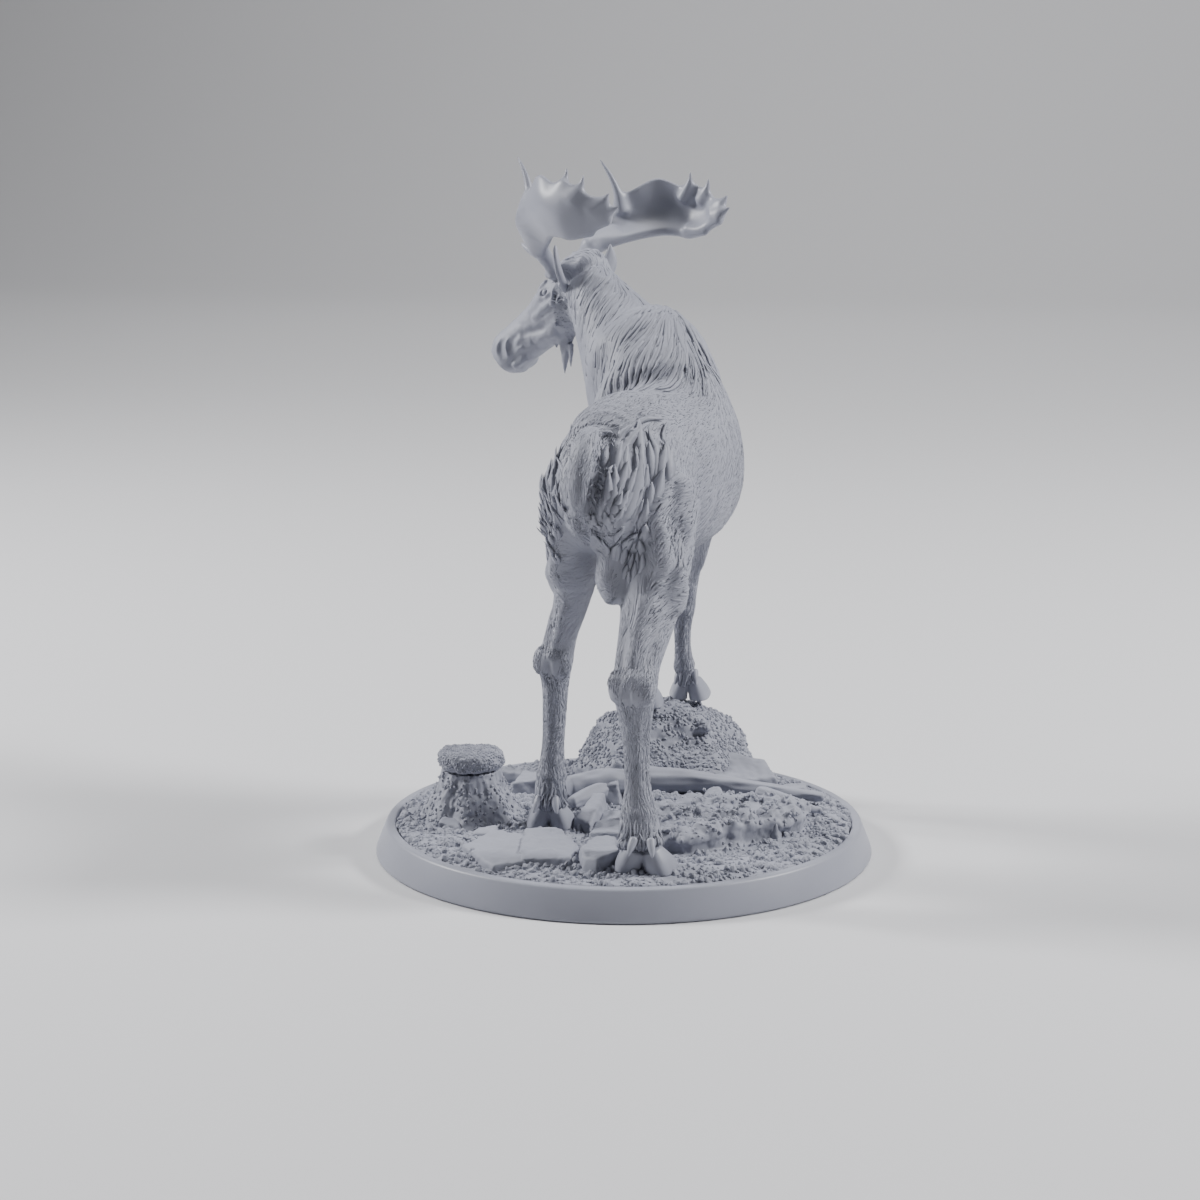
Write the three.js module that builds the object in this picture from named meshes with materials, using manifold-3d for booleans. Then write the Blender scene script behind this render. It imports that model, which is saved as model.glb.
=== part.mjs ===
// Moose figurine: a cast grey resin moose that climbs a boulder, on a round scenic base.
// Millimetres, +Z up. The origin is the centre of the base's underside. The moose walks along +Y
// and its right side is towards +X.
import * as THREE from 'three';
import { mergeVertices } from 'three/addons/utils/BufferGeometryUtils.js';
import Module from 'manifold-3d';

const wasm = await Module();
wasm.setup();

// ---------------------------------------------------------------- driving dimensions

const gap = 0.22;                    // left between two pieces that meet
const smallest = 0.05;               // bumps lower than this are dropped from the finished solids
const base = {
  radius: 25, rimRadius: 23.8, rimHeight: 3.07, lipWidth: 0.8, floor: 2.5, sides: 40,
};
const soil = { level: 3.25, relief: 0.16, radius: base.rimRadius - base.lipWidth - gap };
const bed = base.floor + gap;        // underside of all that stands on the base's floor

// A body station is [x, y, z, half width, rise above, drop below]. On a leg the last two are the
// reach forwards and the reach backwards.
const torsoStations = [
  [0.1, -16.6, 41.0, 2.0, 2.2, 3.0],
  [0.5, -14.5, 40.0, 4.2, 5.8, 6.3],
  [1.4, -10.5, 39.0, 5.4, 8.1, 7.4],
  [2.6, -5.5, 38.5, 6.6, 8.2, 7.8],
  [3.2, 0.0, 38.3, 7.6, 8.2, 8.4],
  [3.2, 4.5, 38.6, 8.1, 9.8, 8.9],
  [2.2, 9.0, 40.0, 7.2, 12.0, 10.4],
  [1.0, 12.5, 41.0, 6.0, 13.4, 10.4],
  [0.3, 15.5, 41.5, 4.6, 11.4, 9.0],
  [0.0, 17.5, 41.0, 2.5, 6.0, 5.0],
];
const neckStations = [
  [1.0, 9.5, 42.5, 5.8, 6.2, 8.5],
  [-0.9, 13.0, 45.8, 5.6, 8.4, 9.3],
  [-3.0, 15.8, 49.0, 4.9, 6.1, 7.2],
  [-5.4, 18.0, 52.0, 3.9, 4.9, 6.0],
  [-7.4, 19.8, 54.4, 3.0, 4.1, 4.6],
];
const neckRoot = { point: [-1.8, 14.3, 47.2], normal: [-0.46, 0.577, 0.673] };

// The head turns to the moose's left: its own frame has s to the right, b back and z up.
const headTurn = { origin: [-2.3, 17.9], right: [0.3907, 0.9205], back: [0.9205, -0.3907] };
const headLean = { angle: -1.3, height: 60 };
const skull = { back: -5.8, height: 57.0, pitch: 35 };     // the poll, and how far the nose dips
// A skull station is [distance from the poll, lift of its middle, half width, rise above, drop below].
const skullStations = [
  [-0.4, 0.2, 2.0, 1.9, 2.6],
  [1.6, 0.0, 2.55, 2.5, 3.3],
  [4.0, -0.5, 2.8, 2.5, 3.8],
  [6.0, -0.6, 2.8, 2.5, 3.8],
  [8.0, -0.9, 2.2, 2.35, 3.3],
  [10.0, -1.2, 1.95, 2.4, 2.8],
  [12.0, -1.4, 1.95, 2.5, 2.5],
  [14.0, -1.5, 2.15, 2.6, 2.7],
  [15.2, -1.6, 2.0, 2.1, 2.1],
];
const skullNose = 0.5;               // how far the muzzle rounds past its last station
const eye = { along: 5.1, side: 2.42, rise: 0.5, radius: 0.62 };
const nostril = { along: 15.0, side: 1.7, rise: -1.5, long: 0.35, high: 1.1, deep: 0.7 };
const mouth = { from: 11.0, to: 15.6, rise: -3.2, high: 0.17, deep: 0.8 };

const rightHind = [
  [4.2, -9.0, 41.5, 3.5, 5.2, 5.2],
  [4.7, -9.3, 38.0, 3.7, 6.2, 6.2],
  [5.2, -9.8, 33.5, 3.5, 5.6, 5.6],
  [5.2, -11.5, 29.5, 3.1, 4.2, 4.2],
  [4.9, -13.8, 25.8, 2.6, 3.0, 3.0],
  [4.5, -15.9, 22.6, 2.2, 2.3, 2.3],
  [4.4, -16.8, 20.4, 2.2, 2.1, 2.4],
  [4.5, -16.9, 18.2, 1.75, 1.7, 1.9],
  [4.6, -16.9, 15.0, 1.35, 1.35, 1.4],
  [4.75, -17.0, 11.5, 1.3, 1.3, 1.3],
  [4.95, -17.4, 8.4, 1.75, 1.6, 1.8],
  [5.2, -17.9, 5.8, 2.15, 1.9, 2.0],
];
const leftHind = [
  [-1.5, -9.3, 41.5, 2.7, 5.0, 5.0],
  [-2.3, -8.8, 38.0, 3.1, 5.8, 5.8],
  [-3.1, -7.8, 33.5, 3.0, 5.4, 5.2],
  [-3.4, -6.8, 29.5, 2.35, 4.2, 4.0],
  [-4.2, -6.0, 25.8, 1.85, 3.0, 2.9],
  [-5.2, -5.6, 22.6, 1.65, 2.2, 2.1],
  [-5.7, -5.7, 20.2, 1.8, 2.0, 2.2],
  [-5.7, -5.8, 17.8, 1.4, 1.6, 1.7],
  [-5.8, -5.9, 14.5, 1.25, 1.3, 1.3],
  [-5.95, -5.9, 11.5, 1.2, 1.25, 1.3],
  [-6.1, -6.0, 8.4, 1.5, 1.5, 1.6],
  [-6.2, -6.2, 5.8, 1.65, 1.6, 1.8],
];
const rightFront = [
  [5.0, 12.4, 34.5, 2.9, 4.2, 4.2],
  [4.4, 13.2, 31.0, 2.3, 3.2, 3.2],
  [3.9, 14.5, 27.0, 1.65, 2.2, 2.2],
  [3.4, 15.7, 23.6, 1.35, 1.6, 1.7],
  [3.2, 16.1, 21.6, 1.3, 1.6, 1.5],
  [3.05, 16.4, 19.8, 1.05, 1.2, 1.2],
  [3.0, 16.8, 17.5, 0.95, 1.05, 1.1],
  [3.1, 17.4, 15.0, 1.15, 1.2, 1.3],
  [3.3, 17.8, 13.6, 1.15, 1.2, 1.3],
];
const leftFront = [
  [-1.6, 11.4, 34.5, 2.7, 4.2, 4.2],
  [-1.5, 11.8, 31.0, 2.2, 3.2, 3.2],
  [-1.3, 12.2, 27.0, 1.6, 2.2, 2.2],
  [-1.1, 12.4, 23.6, 1.35, 1.6, 1.7],
  [-1.0, 12.4, 21.6, 1.3, 1.6, 1.5],
  [-0.9, 12.4, 19.8, 1.05, 1.2, 1.2],
  [-0.8, 12.5, 17.5, 0.95, 1.05, 1.1],
  [-0.7, 12.7, 15.0, 1.15, 1.2, 1.3],
  [-0.7, 12.9, 13.6, 1.15, 1.2, 1.3],
];
// Each leg: where its own node ends inwards, its joint, and how its hoof stands.
const legs = [
  { name: 'hind_right', stations: rightHind, inner: 1.8, side: 1, joint: 6, hoof: [5.7, -18.6, 3.35],
    heading: -4, spread: 16, claw: 1.35, steps: 2 },
  { name: 'hind_left', stations: leftHind, inner: -0.2, side: -1, joint: 6, hoof: [-6.2, -6.4, 3.35],
    heading: 6, spread: 11, claw: 1.1, steps: 2 },
  { name: 'front_right', stations: rightFront, inner: 1.9, side: 1, joint: 4,
    hoof: [3.4, 18.4, 11.2], heading: 2, spread: 11, claw: 1.0, steps: 1 },
  { name: 'front_left', stations: leftFront, inner: 0.9, side: -1, joint: 4,
    hoof: [-0.7, 13.4, 11.3], heading: 8, spread: 9, claw: 1.0, steps: 1 },
];
const claw = { height: 2.1, toe: 2.2, heel: 1.35, topShare: 0.74 };
const dewclaw = { length: 1.1, radius: 0.42, above: 2.9, apart: 0.85, behind: 1.15 };

const tailStations = [
  [0.1, -14.4, 43.6, 1.3, 0.9, 0.9],
  [-0.1, -16.5, 42.3, 1.5, 1.0, 1.0],
  [-0.3, -17.6, 40.2, 1.3, 0.9, 0.9],
  [-0.5, -17.9, 38.0, 0.9, 0.7, 0.7],
  [-0.65, -17.9, 36.6, 0.5, 0.4, 0.4],
];

// Head frame [s, b, z] of the right side. The left one is its mirror image.
const burr = [2.2, -9.2, 56.6];
const beamStations = [
  [2.0, -9.0, 56.2, 0.75], [2.8, -9.2, 57.4, 0.72], [3.8, -9.3, 58.5, 0.85], [4.9, -9.3, 59.4, 1.0],
];
const browTines = {
  left: [[3.3, -9.6, 58.1, 0.5], [3.5, -11.2, 58.8, 0.4], [3.3, -12.6, 59.6, 0.2]],
  right: [[3.3, -9.6, 58.1, 0.45], [3.4, -10.2, 58.3, 0.36], [3.4, -10.8, 58.6, 0.2]],
};
const palmRibs = [
  { low: [4.9, -9.1, 59.0], high: [5.6, -10.2, 60.3] },
  { low: [6.4, -7.0, 59.8], high: [8.4, -9.4, 62.0] },
  { low: [8.6, -4.9, 60.5], high: [8.5, -8.4, 64.2] },
  { low: [10.2, -3.3, 60.8], high: [9.2, -6.8, 65.4] },
  { low: [10.8, -1.8, 60.7], high: [10.7, -4.8, 66.6] },
  { low: [10.9, -0.6, 60.5], high: [11.6, -2.4, 65.8] },
  { low: [10.8, 0.6, 60.8], high: [11.9, -0.6, 65.9] },
  { low: [10.7, 1.5, 61.3], high: [11.8, 1.2, 64.9] },
  { low: [10.4, 3.5, 62.2], high: [10.9, 3.6, 63.9] },
];
const palm = { bulge: 1.2, lowThick: 1.1, highThick: 0.55, rows: 4, columns: 10 };
// From the beam's end into the palm: [s, b, z, half width, half thickness].
const palmRoot = [
  [4.5, -9.3, 59.1, 1.0, 1.0], [5.8, -8.9, 60.0, 1.25, 0.85], [7.4, -8.0, 60.9, 1.5, 0.5],
];
const tines = [
  { from: [8.4, -7.8, 63.0], to: [7.4, -10.2, 68.7], radius: 1.0 },
  { from: [11.5, -2.0, 64.4], to: [11.4, -0.9, 67.5], radius: 0.8 },
  { from: [11.8, 0.2, 64.2], to: [11.6, 1.3, 66.8], radius: 0.75 },
  { from: [11.1, 2.1, 63.3], to: [11.1, 4.1, 65.0], radius: 0.7 },
  { from: [10.6, 2.6, 62.7], to: [10.4, 4.9, 63.7], radius: 0.62 },
  { from: [10.8, -0.8, 61.3], to: [10.5, 1.7, 60.8], radius: 0.6 },
];
const earStations = [
  [2.6, -7.2, 54.9, 0.5, 0.5, 0.5],
  [3.8, -7.0, 55.8, 0.68, 0.58, 0.58],
  [4.75, -6.85, 57.2, 0.92, 0.52, 0.52],
  [5.05, -6.85, 58.4, 0.68, 0.4, 0.4],
  [5.03, -6.9, 59.5, 0.2, 0.2, 0.2],
];
const earCup = { turn: 35, depth: 0.62, share: 0.66 };
const bellStations = [
  [0, -8.9, 50.6, 0.8, 1.3, 1.3],
  [0, -9.1, 49.4, 0.65, 1.0, 1.0],
  [0, -9.1, 48.2, 0.5, 0.65, 0.65],
  [0, -9.1, 47.0, 0.3, 0.35, 0.35],
];

// Locks of the coat, in patches on a body's loft. Rows run from one place along it to another, and
// each row goes round it between two angles: 90 is its crest, or a leg's front. Way is where the
// tips point: 0 along the loft, 90 towards growing angles.
const lockShape = { sunk: 0.45, rise: 0.12, thick: 0.34, swing: 7, spread: 0.14 };
const neckLocks = [
  { place: [0.5, 3.0], angle: [98, 112], rows: 4, across: 2, way: [108, 108], long: 6.2, wide: 2.1, tip: 0.3 },
  { place: [0.8, 2.9], angle: [150, 212], rows: 3, across: 2, way: [112, 118], long: 6.0, wide: 2.2, tip: 0.4 },
  { place: [0.5, 3.0], angle: [68, 82], rows: 4, across: 2, way: [-108, -108], long: 6.2, wide: 2.1, tip: 0.3 },
  { place: [0.8, 2.9], angle: [-32, 30], rows: 3, across: 2, way: [-118, -112], long: 6.0, wide: 2.2, tip: 0.4 },
  { place: [1.5, 3.2], angle: [245, 295], rows: 3, across: 2, way: [184, 176], long: 4.2, wide: 1.5, tip: 0.7 },
];
const torsoLocks = [
  { place: [6.8, 8.2], angle: [98, 142], rows: 2, across: 2, way: [112, 124], long: 6.8, wide: 2.4, tip: 0.3 },
  { place: [5.7, 5.3], angle: [94, 172], rows: 2, across: 5, way: [168, 134], long: 4.8, wide: 2.1, tip: 0.35 },
  { place: [6.9, 8.1], angle: [38, 82], rows: 2, across: 2, way: [-124, -112], long: 6.8, wide: 2.4, tip: 0.3 },
  { place: [5.7, 5.3], angle: [8, 86], rows: 2, across: 5, way: [-134, -168], long: 4.8, wide: 2.1, tip: 0.35 },
  { place: [8.0, 8.0], angle: [235, 305], rows: 1, across: 2, way: [166, 194], long: 4.6, wide: 1.9, tip: 0.7 },
];
// On the thighs the locks stand like leaves with their tips up. One list for each hind leg.
const legLocks = {
  hind_right: [
    { place: [3.3, 1.9], angle: [212, 292], rows: 3, across: 3, way: [173, 187], long: 4.4, wide: 1.7, tip: 0.9 },
    { place: [4.4, 3.8], angle: [205, 300], rows: 2, across: 3, way: [170, 190], long: 3.2, wide: 1.25, tip: 0.7 },
    { place: [2.5, 2.5], angle: [262, 262], rows: 1, across: 1, way: [176, 176], long: 7.4, wide: 2.4, tip: 0.9 },
  ],
  hind_left: [
    { place: [3.5, 1.9], angle: [172, 268], rows: 3, across: 3, way: [173, 189], long: 4.0, wide: 1.6, tip: 0.9 },
    { place: [4.5, 3.9], angle: [180, 285], rows: 2, across: 3, way: [172, 190], long: 2.9, wide: 1.15, tip: 0.6 },
  ],
};
const bellLocks = [
  { place: [0.6, 1.5], angle: [30, 270], rows: 2, across: 3, way: [0, 0], long: 2.4, wide: 0.8, tip: 0.3 },
];

// ---------------------------------------------------------------- vectors and numbers

const up = [0, 0, 1];
const add = (a, b, k = 1) => a.map((v, i) => v + k * b[i]);
const dot = (a, b) => a[0] * b[0] + a[1] * b[1] + a[2] * b[2];
const cross = (a, b) => [
  a[1] * b[2] - a[2] * b[1], a[2] * b[0] - a[0] * b[2], a[0] * b[1] - a[1] * b[0],
];
const unit = (a) => {
  const size = Math.hypot(...a);
  return a.map((v) => v / size);
};
const mix = (a, b, k) => a + (b - a) * k;
const mixAll = (a, b, k) => a.map((v, i) => mix(v, b[i], k));
const radians = (degrees) => (degrees * Math.PI) / 180;

function seededRandom(seed) {
  let state = seed;
  return (low = 0, high = 1) => {
    state = (state * 1664525 + 1013904223) % 4294967296;
    return low + (high - low) * (state / 4294967296);
  };
}

// Catmull-Rom through rows of numbers; place runs from 0 to rows.length - 1.
function along(rows, place) {
  const last = rows.length - 1;
  const start = Math.min(Math.floor(place), last - 1);
  const k = place - start;
  const row = (i) => rows[Math.max(0, Math.min(last, i))];
  return rows[0].map((_, c) => {
    const [a, b, d, e] = [row(start - 1)[c], row(start)[c], row(start + 1)[c], row(start + 2)[c]];
    const bend = 2 * a - 5 * b + 4 * d - e;
    const twist = 3 * b - a - 3 * d + e;
    return 0.5 * (2 * b + (d - a) * k + bend * k * k + twist * k * k * k);
  });
}

// ---------------------------------------------------------------- solids

function solidOf(geometry) {
  const plain = geometry.clone();
  plain.deleteAttribute('normal');
  plain.deleteAttribute('uv');
  const merged = mergeVertices(plain, 1e-4);
  const corners = merged.attributes.position.array;
  const order = Array.from(merged.index.array);
  const corner = (i) => [corners[3 * i], corners[3 * i + 1], corners[3 * i + 2]];
  let faces = [];
  let volume = 0;
  for (let i = 0; i < order.length; i += 3) {
    const [a, b, c] = order.slice(i, i + 3);
    if (a === b || b === c || c === a) continue;
    faces.push(a, b, c);
    volume += dot(corner(a), cross(corner(b), corner(c)));
  }
  if (volume < 0) faces = faces.reverse();
  return new wasm.Manifold(new wasm.Mesh({
    numProp: 3, vertProperties: new Float32Array(corners), triVerts: new Uint32Array(faces),
  }));
}

function solidFrom(points, faces) {
  const geometry = new THREE.BufferGeometry();
  geometry.setAttribute('position', new THREE.Float32BufferAttribute(points.flat(), 3));
  geometry.setIndex(faces.flat());
  return solidOf(geometry);
}

const join = (solids) => wasm.Manifold.union(solids);
const cutAll = (solid, tools) => tools.reduce((left, tool) => left.subtract(tool), solid);

function largest(solid) {
  const bodies = solid.decompose();
  return bodies.reduce((best, one) => (one.volume() > best.volume() ? one : best));
}

// A big box whose one face passes through the point, and which fills the side the normal looks to.
function halfSpace(point, normal) {
  const size = 200;
  const geometry = new THREE.BoxGeometry(size, size, size);
  const axis = unit(normal);
  geometry.translate(0, 0, size / 2);
  geometry.applyQuaternion(new THREE.Quaternion().setFromUnitVectors(
    new THREE.Vector3(...up), new THREE.Vector3(...axis)));
  geometry.translate(...point);
  return solidOf(geometry);
}

// ---------------------------------------------------------------- lofts

// A loft is { stations, side, sides, steps, power, caps }: side points to its own right, power
// squares its section, caps are the lengths of its rounded ends, or 0 for a flat end.
function frameAt(loft, place) {
  const last = loft.stations.length - 1;
  const before = along(loft.stations, Math.max(0, place - 0.02)).slice(0, 3);
  const after = along(loft.stations, Math.min(last, place + 0.02)).slice(0, 3);
  const forward = unit(add(after, before, -1));
  const right = unit(add(loft.side, forward, -dot(loft.side, forward)));
  return { forward, right, rise: cross(right, forward) };
}

function surfacePoint(loft, place, angle, lift = 0) {
  const [x, y, z, wide, above, below] = along(loft.stations, place);
  const { right, rise } = frameAt(loft, place);
  const squared = (v) => Math.sign(v) * Math.abs(v) ** (2 / loft.power);
  const high = Math.sin(angle) > 0 ? above : below;
  const outwards = add([0, 0, 0], right, (wide + lift) * squared(Math.cos(angle)));
  return add(add([x, y, z], outwards), rise, (high + lift) * squared(Math.sin(angle)));
}

function loftSolid(loft, grow = 0) {
  const { sides, steps } = loft;
  const last = loft.stations.length - 1;
  const points = [];
  const faces = [];
  const addRing = (place, shift, share) => {
    const centre = along(loft.stations, place).slice(0, 3);
    const { forward } = frameAt(loft, place);
    for (let i = 0; i < sides; i += 1) {
      const onSkin = surfacePoint(loft, place, (2 * Math.PI * i) / sides, grow);
      points.push(add(add(centre, add(onSkin, centre, -1), share), forward, shift));
    }
  };
  const capRings = [0.55, 0.87];
  const [startCap, endCap] = loft.caps;
  if (startCap > 0) {
    for (const k of [...capRings].reverse()) addRing(0, -(startCap + grow) * k, Math.sqrt(1 - k * k));
  }
  for (let i = 0; i <= last * steps; i += 1) {
    let shift = 0;
    if (i === 0 && startCap === 0) shift = -grow;
    if (i === last * steps && endCap === 0) shift = grow;
    addRing(i / steps, shift, 1);
  }
  if (endCap > 0) {
    for (const k of capRings) addRing(last, (endCap + grow) * k, Math.sqrt(1 - k * k));
  }
  const rings = points.length / sides;
  for (let r = 0; r < rings - 1; r += 1) {
    for (let i = 0; i < sides; i += 1) {
      const next = (i + 1) % sides;
      const [a, b] = [r * sides + i, r * sides + next];
      faces.push([a, b, a + sides], [b, b + sides, a + sides]);
    }
  }
  const addPole = (place, ring, shift) => {
    const centre = along(loft.stations, place).slice(0, 3);
    points.push(add(centre, frameAt(loft, place).forward, shift));
    for (let i = 0; i < sides; i += 1) {
      const pair = [ring * sides + i, ring * sides + ((i + 1) % sides)];
      faces.push(ring === 0 ? [pair[1], pair[0], points.length - 1] : [...pair, points.length - 1]);
    }
  };
  addPole(0, 0, -(startCap + grow));
  addPole(last, rings - 1, endCap + grow);
  return solidFrom(points, faces);
}

const bodyLoft = (stations, settings) => ({
  stations, side: [1, 0, 0], sides: 12, steps: 2, power: 2.2, caps: [1, 1], ...settings,
});

// ---------------------------------------------------------------- locks of the coat

// Steps over a loft's skin: way is an angle, 0 along the loft and a quarter turn towards its crest.
function walk(loft, [place, angle], way, distance) {
  const e = 0.01;
  const here = surfacePoint(loft, place, angle);
  const perPlace = Math.hypot(...add(surfacePoint(loft, place + e, angle), here, -1)) / e;
  const perAngle = Math.hypot(...add(surfacePoint(loft, place, angle + e), here, -1)) / e;
  return [
    place + (Math.cos(way) * distance) / perPlace,
    angle + (Math.sin(way) * distance) / Math.max(perAngle, 1),
  ];
}

// One lock: a flat blade with a ridge, its root sunk in the skin, bent to lie along its way.
function lockSolid(loft, root, { way, swing, long, wide, tip }, grow) {
  const shares = [
    { k: 0, lift: -lockShape.sunk, full: 0.75 },
    { k: 0.42, lift: lockShape.rise, full: 1 },
    { k: 0.76, lift: mix(lockShape.rise, tip, 0.5), full: 0.68 },
    { k: 1, lift: tip, full: 0 },
  ];
  const last = shares.length - 1;
  const points = [];
  const spots = [];
  let spot = root;
  shares.forEach(({ k }, i) => {
    const step = i === 0 ? 0 : (k - shares[i - 1].k) * long;
    spot = walk(loft, spot, way + swing * k, step);
    spots.push(spot);
  });
  const centres = spots.map(([place, angle], i) => surfacePoint(loft, place, angle, shares[i].lift));
  centres.forEach((centre, i) => {
    const [place, angle] = spots[i];
    const outwards = unit(add(surfacePoint(loft, place, angle, 1), surfacePoint(loft, place, angle), -1));
    const forward = unit(add(centres[Math.min(i + 1, last)], centres[Math.max(i - 1, 0)], -1));
    if (i === last) {
      points.push(add(centre, forward, grow));
      return;
    }
    const across = unit(cross(outwards, forward));
    const half = (wide / 2) * shares[i].full + grow;
    const thick = lockShape.thick * Math.sqrt(shares[i].full) + grow;
    points.push(add(centre, across, half), add(centre, outwards, thick),
      add(centre, across, -half), add(centre, outwards, -thick));
  });
  const end = 4 * last;
  const faces = [[0, 2, 1], [0, 3, 2]];
  for (let i = 0; i < 4; i += 1) {
    const next = (i + 1) % 4;
    for (let r = 0; r < end - 4; r += 4) {
      faces.push([r + i, r + next, r + i + 4], [r + next, r + next + 4, r + i + 4]);
    }
    faces.push([end - 4 + i, end - 4 + next, end]);
  }
  return solidFrom(points, faces);
}

// All the locks of a list of patches, joined. The draw is the same for each way of growing them.
function locksOn(loft, patches, seed, grow = 0) {
  const random = seededRandom(seed);
  const spread = lockShape.spread;
  const blades = patches.flatMap((patch) => {
    const share = (i, count) => (count === 1 ? 0.5 : i / (count - 1));
    return Array.from({ length: patch.rows * patch.across }, (_, n) => {
      const row = Math.floor(n / patch.across);
      const inRow = n % patch.across;
      const stagger = (row % 2) * 0.5 * (patch.across > 1 ? 1 / patch.across : 0);
      const across = share(inRow, patch.across) + stagger + random(-spread, spread) / patch.across;
      const place = mix(...patch.place, share(row, patch.rows)) + random(-spread, spread);
      const size = random(0.82, 1.15);
      return lockSolid(loft, [place, radians(mix(...patch.angle, across))], {
        way: radians(mix(...patch.way, across) + random(-1, 1) * lockShape.swing),
        swing: radians(random(-1, 1) * lockShape.swing * 2),
        long: patch.long * size, wide: patch.wide * random(0.85, 1.1), tip: patch.tip * size,
      }, grow);
    });
  });
  return join(blades);
}

// ---------------------------------------------------------------- the head's frame

const headPoint = (s, b, z) => [
  headTurn.origin[0] + s * headTurn.right[0] + b * headTurn.back[0],
  headTurn.origin[1] + s * headTurn.right[1] + b * headTurn.back[1],
  z,
];
const headRight = [...headTurn.right, 0];
const headBack = [...headTurn.back, 0];
const noseWay = add(add([0, 0, 0], headBack, -Math.cos(radians(skull.pitch))), up,
  -Math.sin(radians(skull.pitch)));
const browWay = cross(headRight, noseWay);
const skullPoint = (distance, s, rise) => add(add(add(
  headPoint(0, skull.back, skull.height), noseWay, distance), headRight, s), browWay, rise);

// The head leans a little to its right: a turn about its fore and aft line.
function leaned(s, b, z) {
  const lean = radians(headLean.angle);
  const lift = z - headLean.height;
  return headPoint(s * Math.cos(lean) - lift * Math.sin(lean), b,
    headLean.height + s * Math.sin(lean) + lift * Math.cos(lean));
}

// Rows of [s, b, z, ...] on one side of the head, turned to rows of [x, y, z, ...].
const headRows = (rows, side) => rows.map(([s, b, z, ...rest]) => [
  ...leaned(s * side, b, z), ...rest,
]);

// ---------------------------------------------------------------- nodes

const shades = {
  coat: new THREE.MeshStandardMaterial({ color: 0xa8aab6, roughness: 0.55, metalness: 0 }),
  smooth: new THREE.MeshStandardMaterial({ color: 0xaeb0ba, roughness: 0.42, metalness: 0 }),
  terrain: new THREE.MeshStandardMaterial({ color: 0xa6a8b2, roughness: 0.62, metalness: 0 }),
};
const figurine = new THREE.Group();
const mooseGroup = new THREE.Group();
const baseGroup = new THREE.Group();
figurine.add(baseGroup, mooseGroup);

function addNode(group, name, solid, shade, pivot = [0, 0, 0]) {
  const mesh = largest(solid).simplify(smallest).getMesh();
  const geometry = new THREE.BufferGeometry();
  geometry.setAttribute('position', new THREE.Float32BufferAttribute(mesh.vertProperties, 3));
  geometry.setIndex(Array.from(mesh.triVerts));
  geometry.translate(-pivot[0], -pivot[1], -pivot[2]);
  geometry.computeVertexNormals();
  const node = new THREE.Mesh(geometry, shade);
  node.name = name;
  node.position.set(...pivot);
  group.add(node);
}

// ---------------------------------------------------------------- body of the moose

const torsoLoft = bodyLoft(torsoStations, { sides: 16, power: 2.2, caps: [1.0, 1.0] });
const neckLoft = bodyLoft(neckStations, { sides: 14, power: 2.1, caps: [2, 1.5] });
const headLoft = bodyLoft(
  skullStations.map(([distance, lift, ...reach]) => [...skullPoint(distance, 0, lift), ...reach]),
  { side: headRight, sides: 12, power: 2.3, caps: [1.2, skullNose] });
const legLofts = legs.map(({ stations, steps }) => bodyLoft(
  stations, { sides: 8, steps, power: 2.2, caps: [1.6, 0.6] }));

const fleshLofts = [torsoLoft, neckLoft, headLoft, ...legLofts];
const flesh = join(fleshLofts.map((loft) => loftSolid(loft)));
const fleshGrown = join(fleshLofts.map((loft) => loftSolid(loft, gap)));

function parted(solid, point, normal) {
  const axis = unit(normal);
  return [
    solid.intersect(halfSpace(add(point, axis, gap / 2), axis)),
    solid.intersect(halfSpace(add(point, axis, -gap / 2), axis.map((v) => -v))),
  ];
}

const [foreEnd, trunk] = parted(flesh, neckRoot.point, neckRoot.normal);

function headRegion(grow) {
  const reach = 1.3;
  const rows = headLoft.stations.slice(1).map(([x, y, z, wide, above, below]) => [
    x, y, z, wide + reach, above + reach, below + reach,
  ]);
  return loftSolid({ ...headLoft, stations: rows, caps: [0, 3], steps: 1 }, grow);
}

function eyeSolid(side, grow) {
  const geometry = new THREE.SphereGeometry(eye.radius + grow, 10, 6);
  geometry.translate(...skullPoint(eye.along, eye.side * side, eye.rise));
  return solidOf(geometry);
}

// A flat ellipsoid that lies along the muzzle, for the nostrils.
function nostrilCut(side) {
  const geometry = new THREE.SphereGeometry(1, 8, 5);
  const turn = new THREE.Matrix4().makeBasis(
    new THREE.Vector3(...noseWay), new THREE.Vector3(...headRight), new THREE.Vector3(...browWay));
  geometry.scale(nostril.long, nostril.deep, nostril.high);
  geometry.applyMatrix4(turn);
  geometry.translate(...skullPoint(nostril.along, nostril.side * side, nostril.rise));
  return solidOf(geometry);
}

// The line of the mouth: a thin wedge that follows the muzzle's side.
function mouthCut(side) {
  const count = 4;
  const rows = Array.from({ length: count }, (_, i) => {
    const distance = mix(mouth.from, mouth.to, i / (count - 1));
    const wide = along(skullStations, (skullStations.length - 1) * (distance / 16))[2];
    const bend = 0.3 * Math.sin((Math.PI * i) / (count - 1));
    return [...skullPoint(distance, side * (wide + 0.3), mouth.rise - bend),
      mouth.deep, mouth.high, mouth.high];
  });
  return loftSolid(bodyLoft(rows, { side: headRight, sides: 4, steps: 1, caps: [0.3, 0.3] }));
}

const eyeSides = [['right', 1], ['left', -1]];
const headWhole = foreEnd.intersect(headRegion(0));
const head = cutAll(headWhole, eyeSides.flatMap(([, side]) => [
  eyeSolid(side, gap * 0.7), nostrilCut(side), mouthCut(side),
]));
// Room for an ear and its shell, which the mane keeps clear of.
function earSettings(side) {
  const turn = radians(earCup.turn) * side;
  const openWay = add(headRight.map((v) => v * side * Math.sin(Math.abs(turn))),
    headBack, -Math.cos(turn));
  return { openWay, across: cross(up, openWay) };
}

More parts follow.
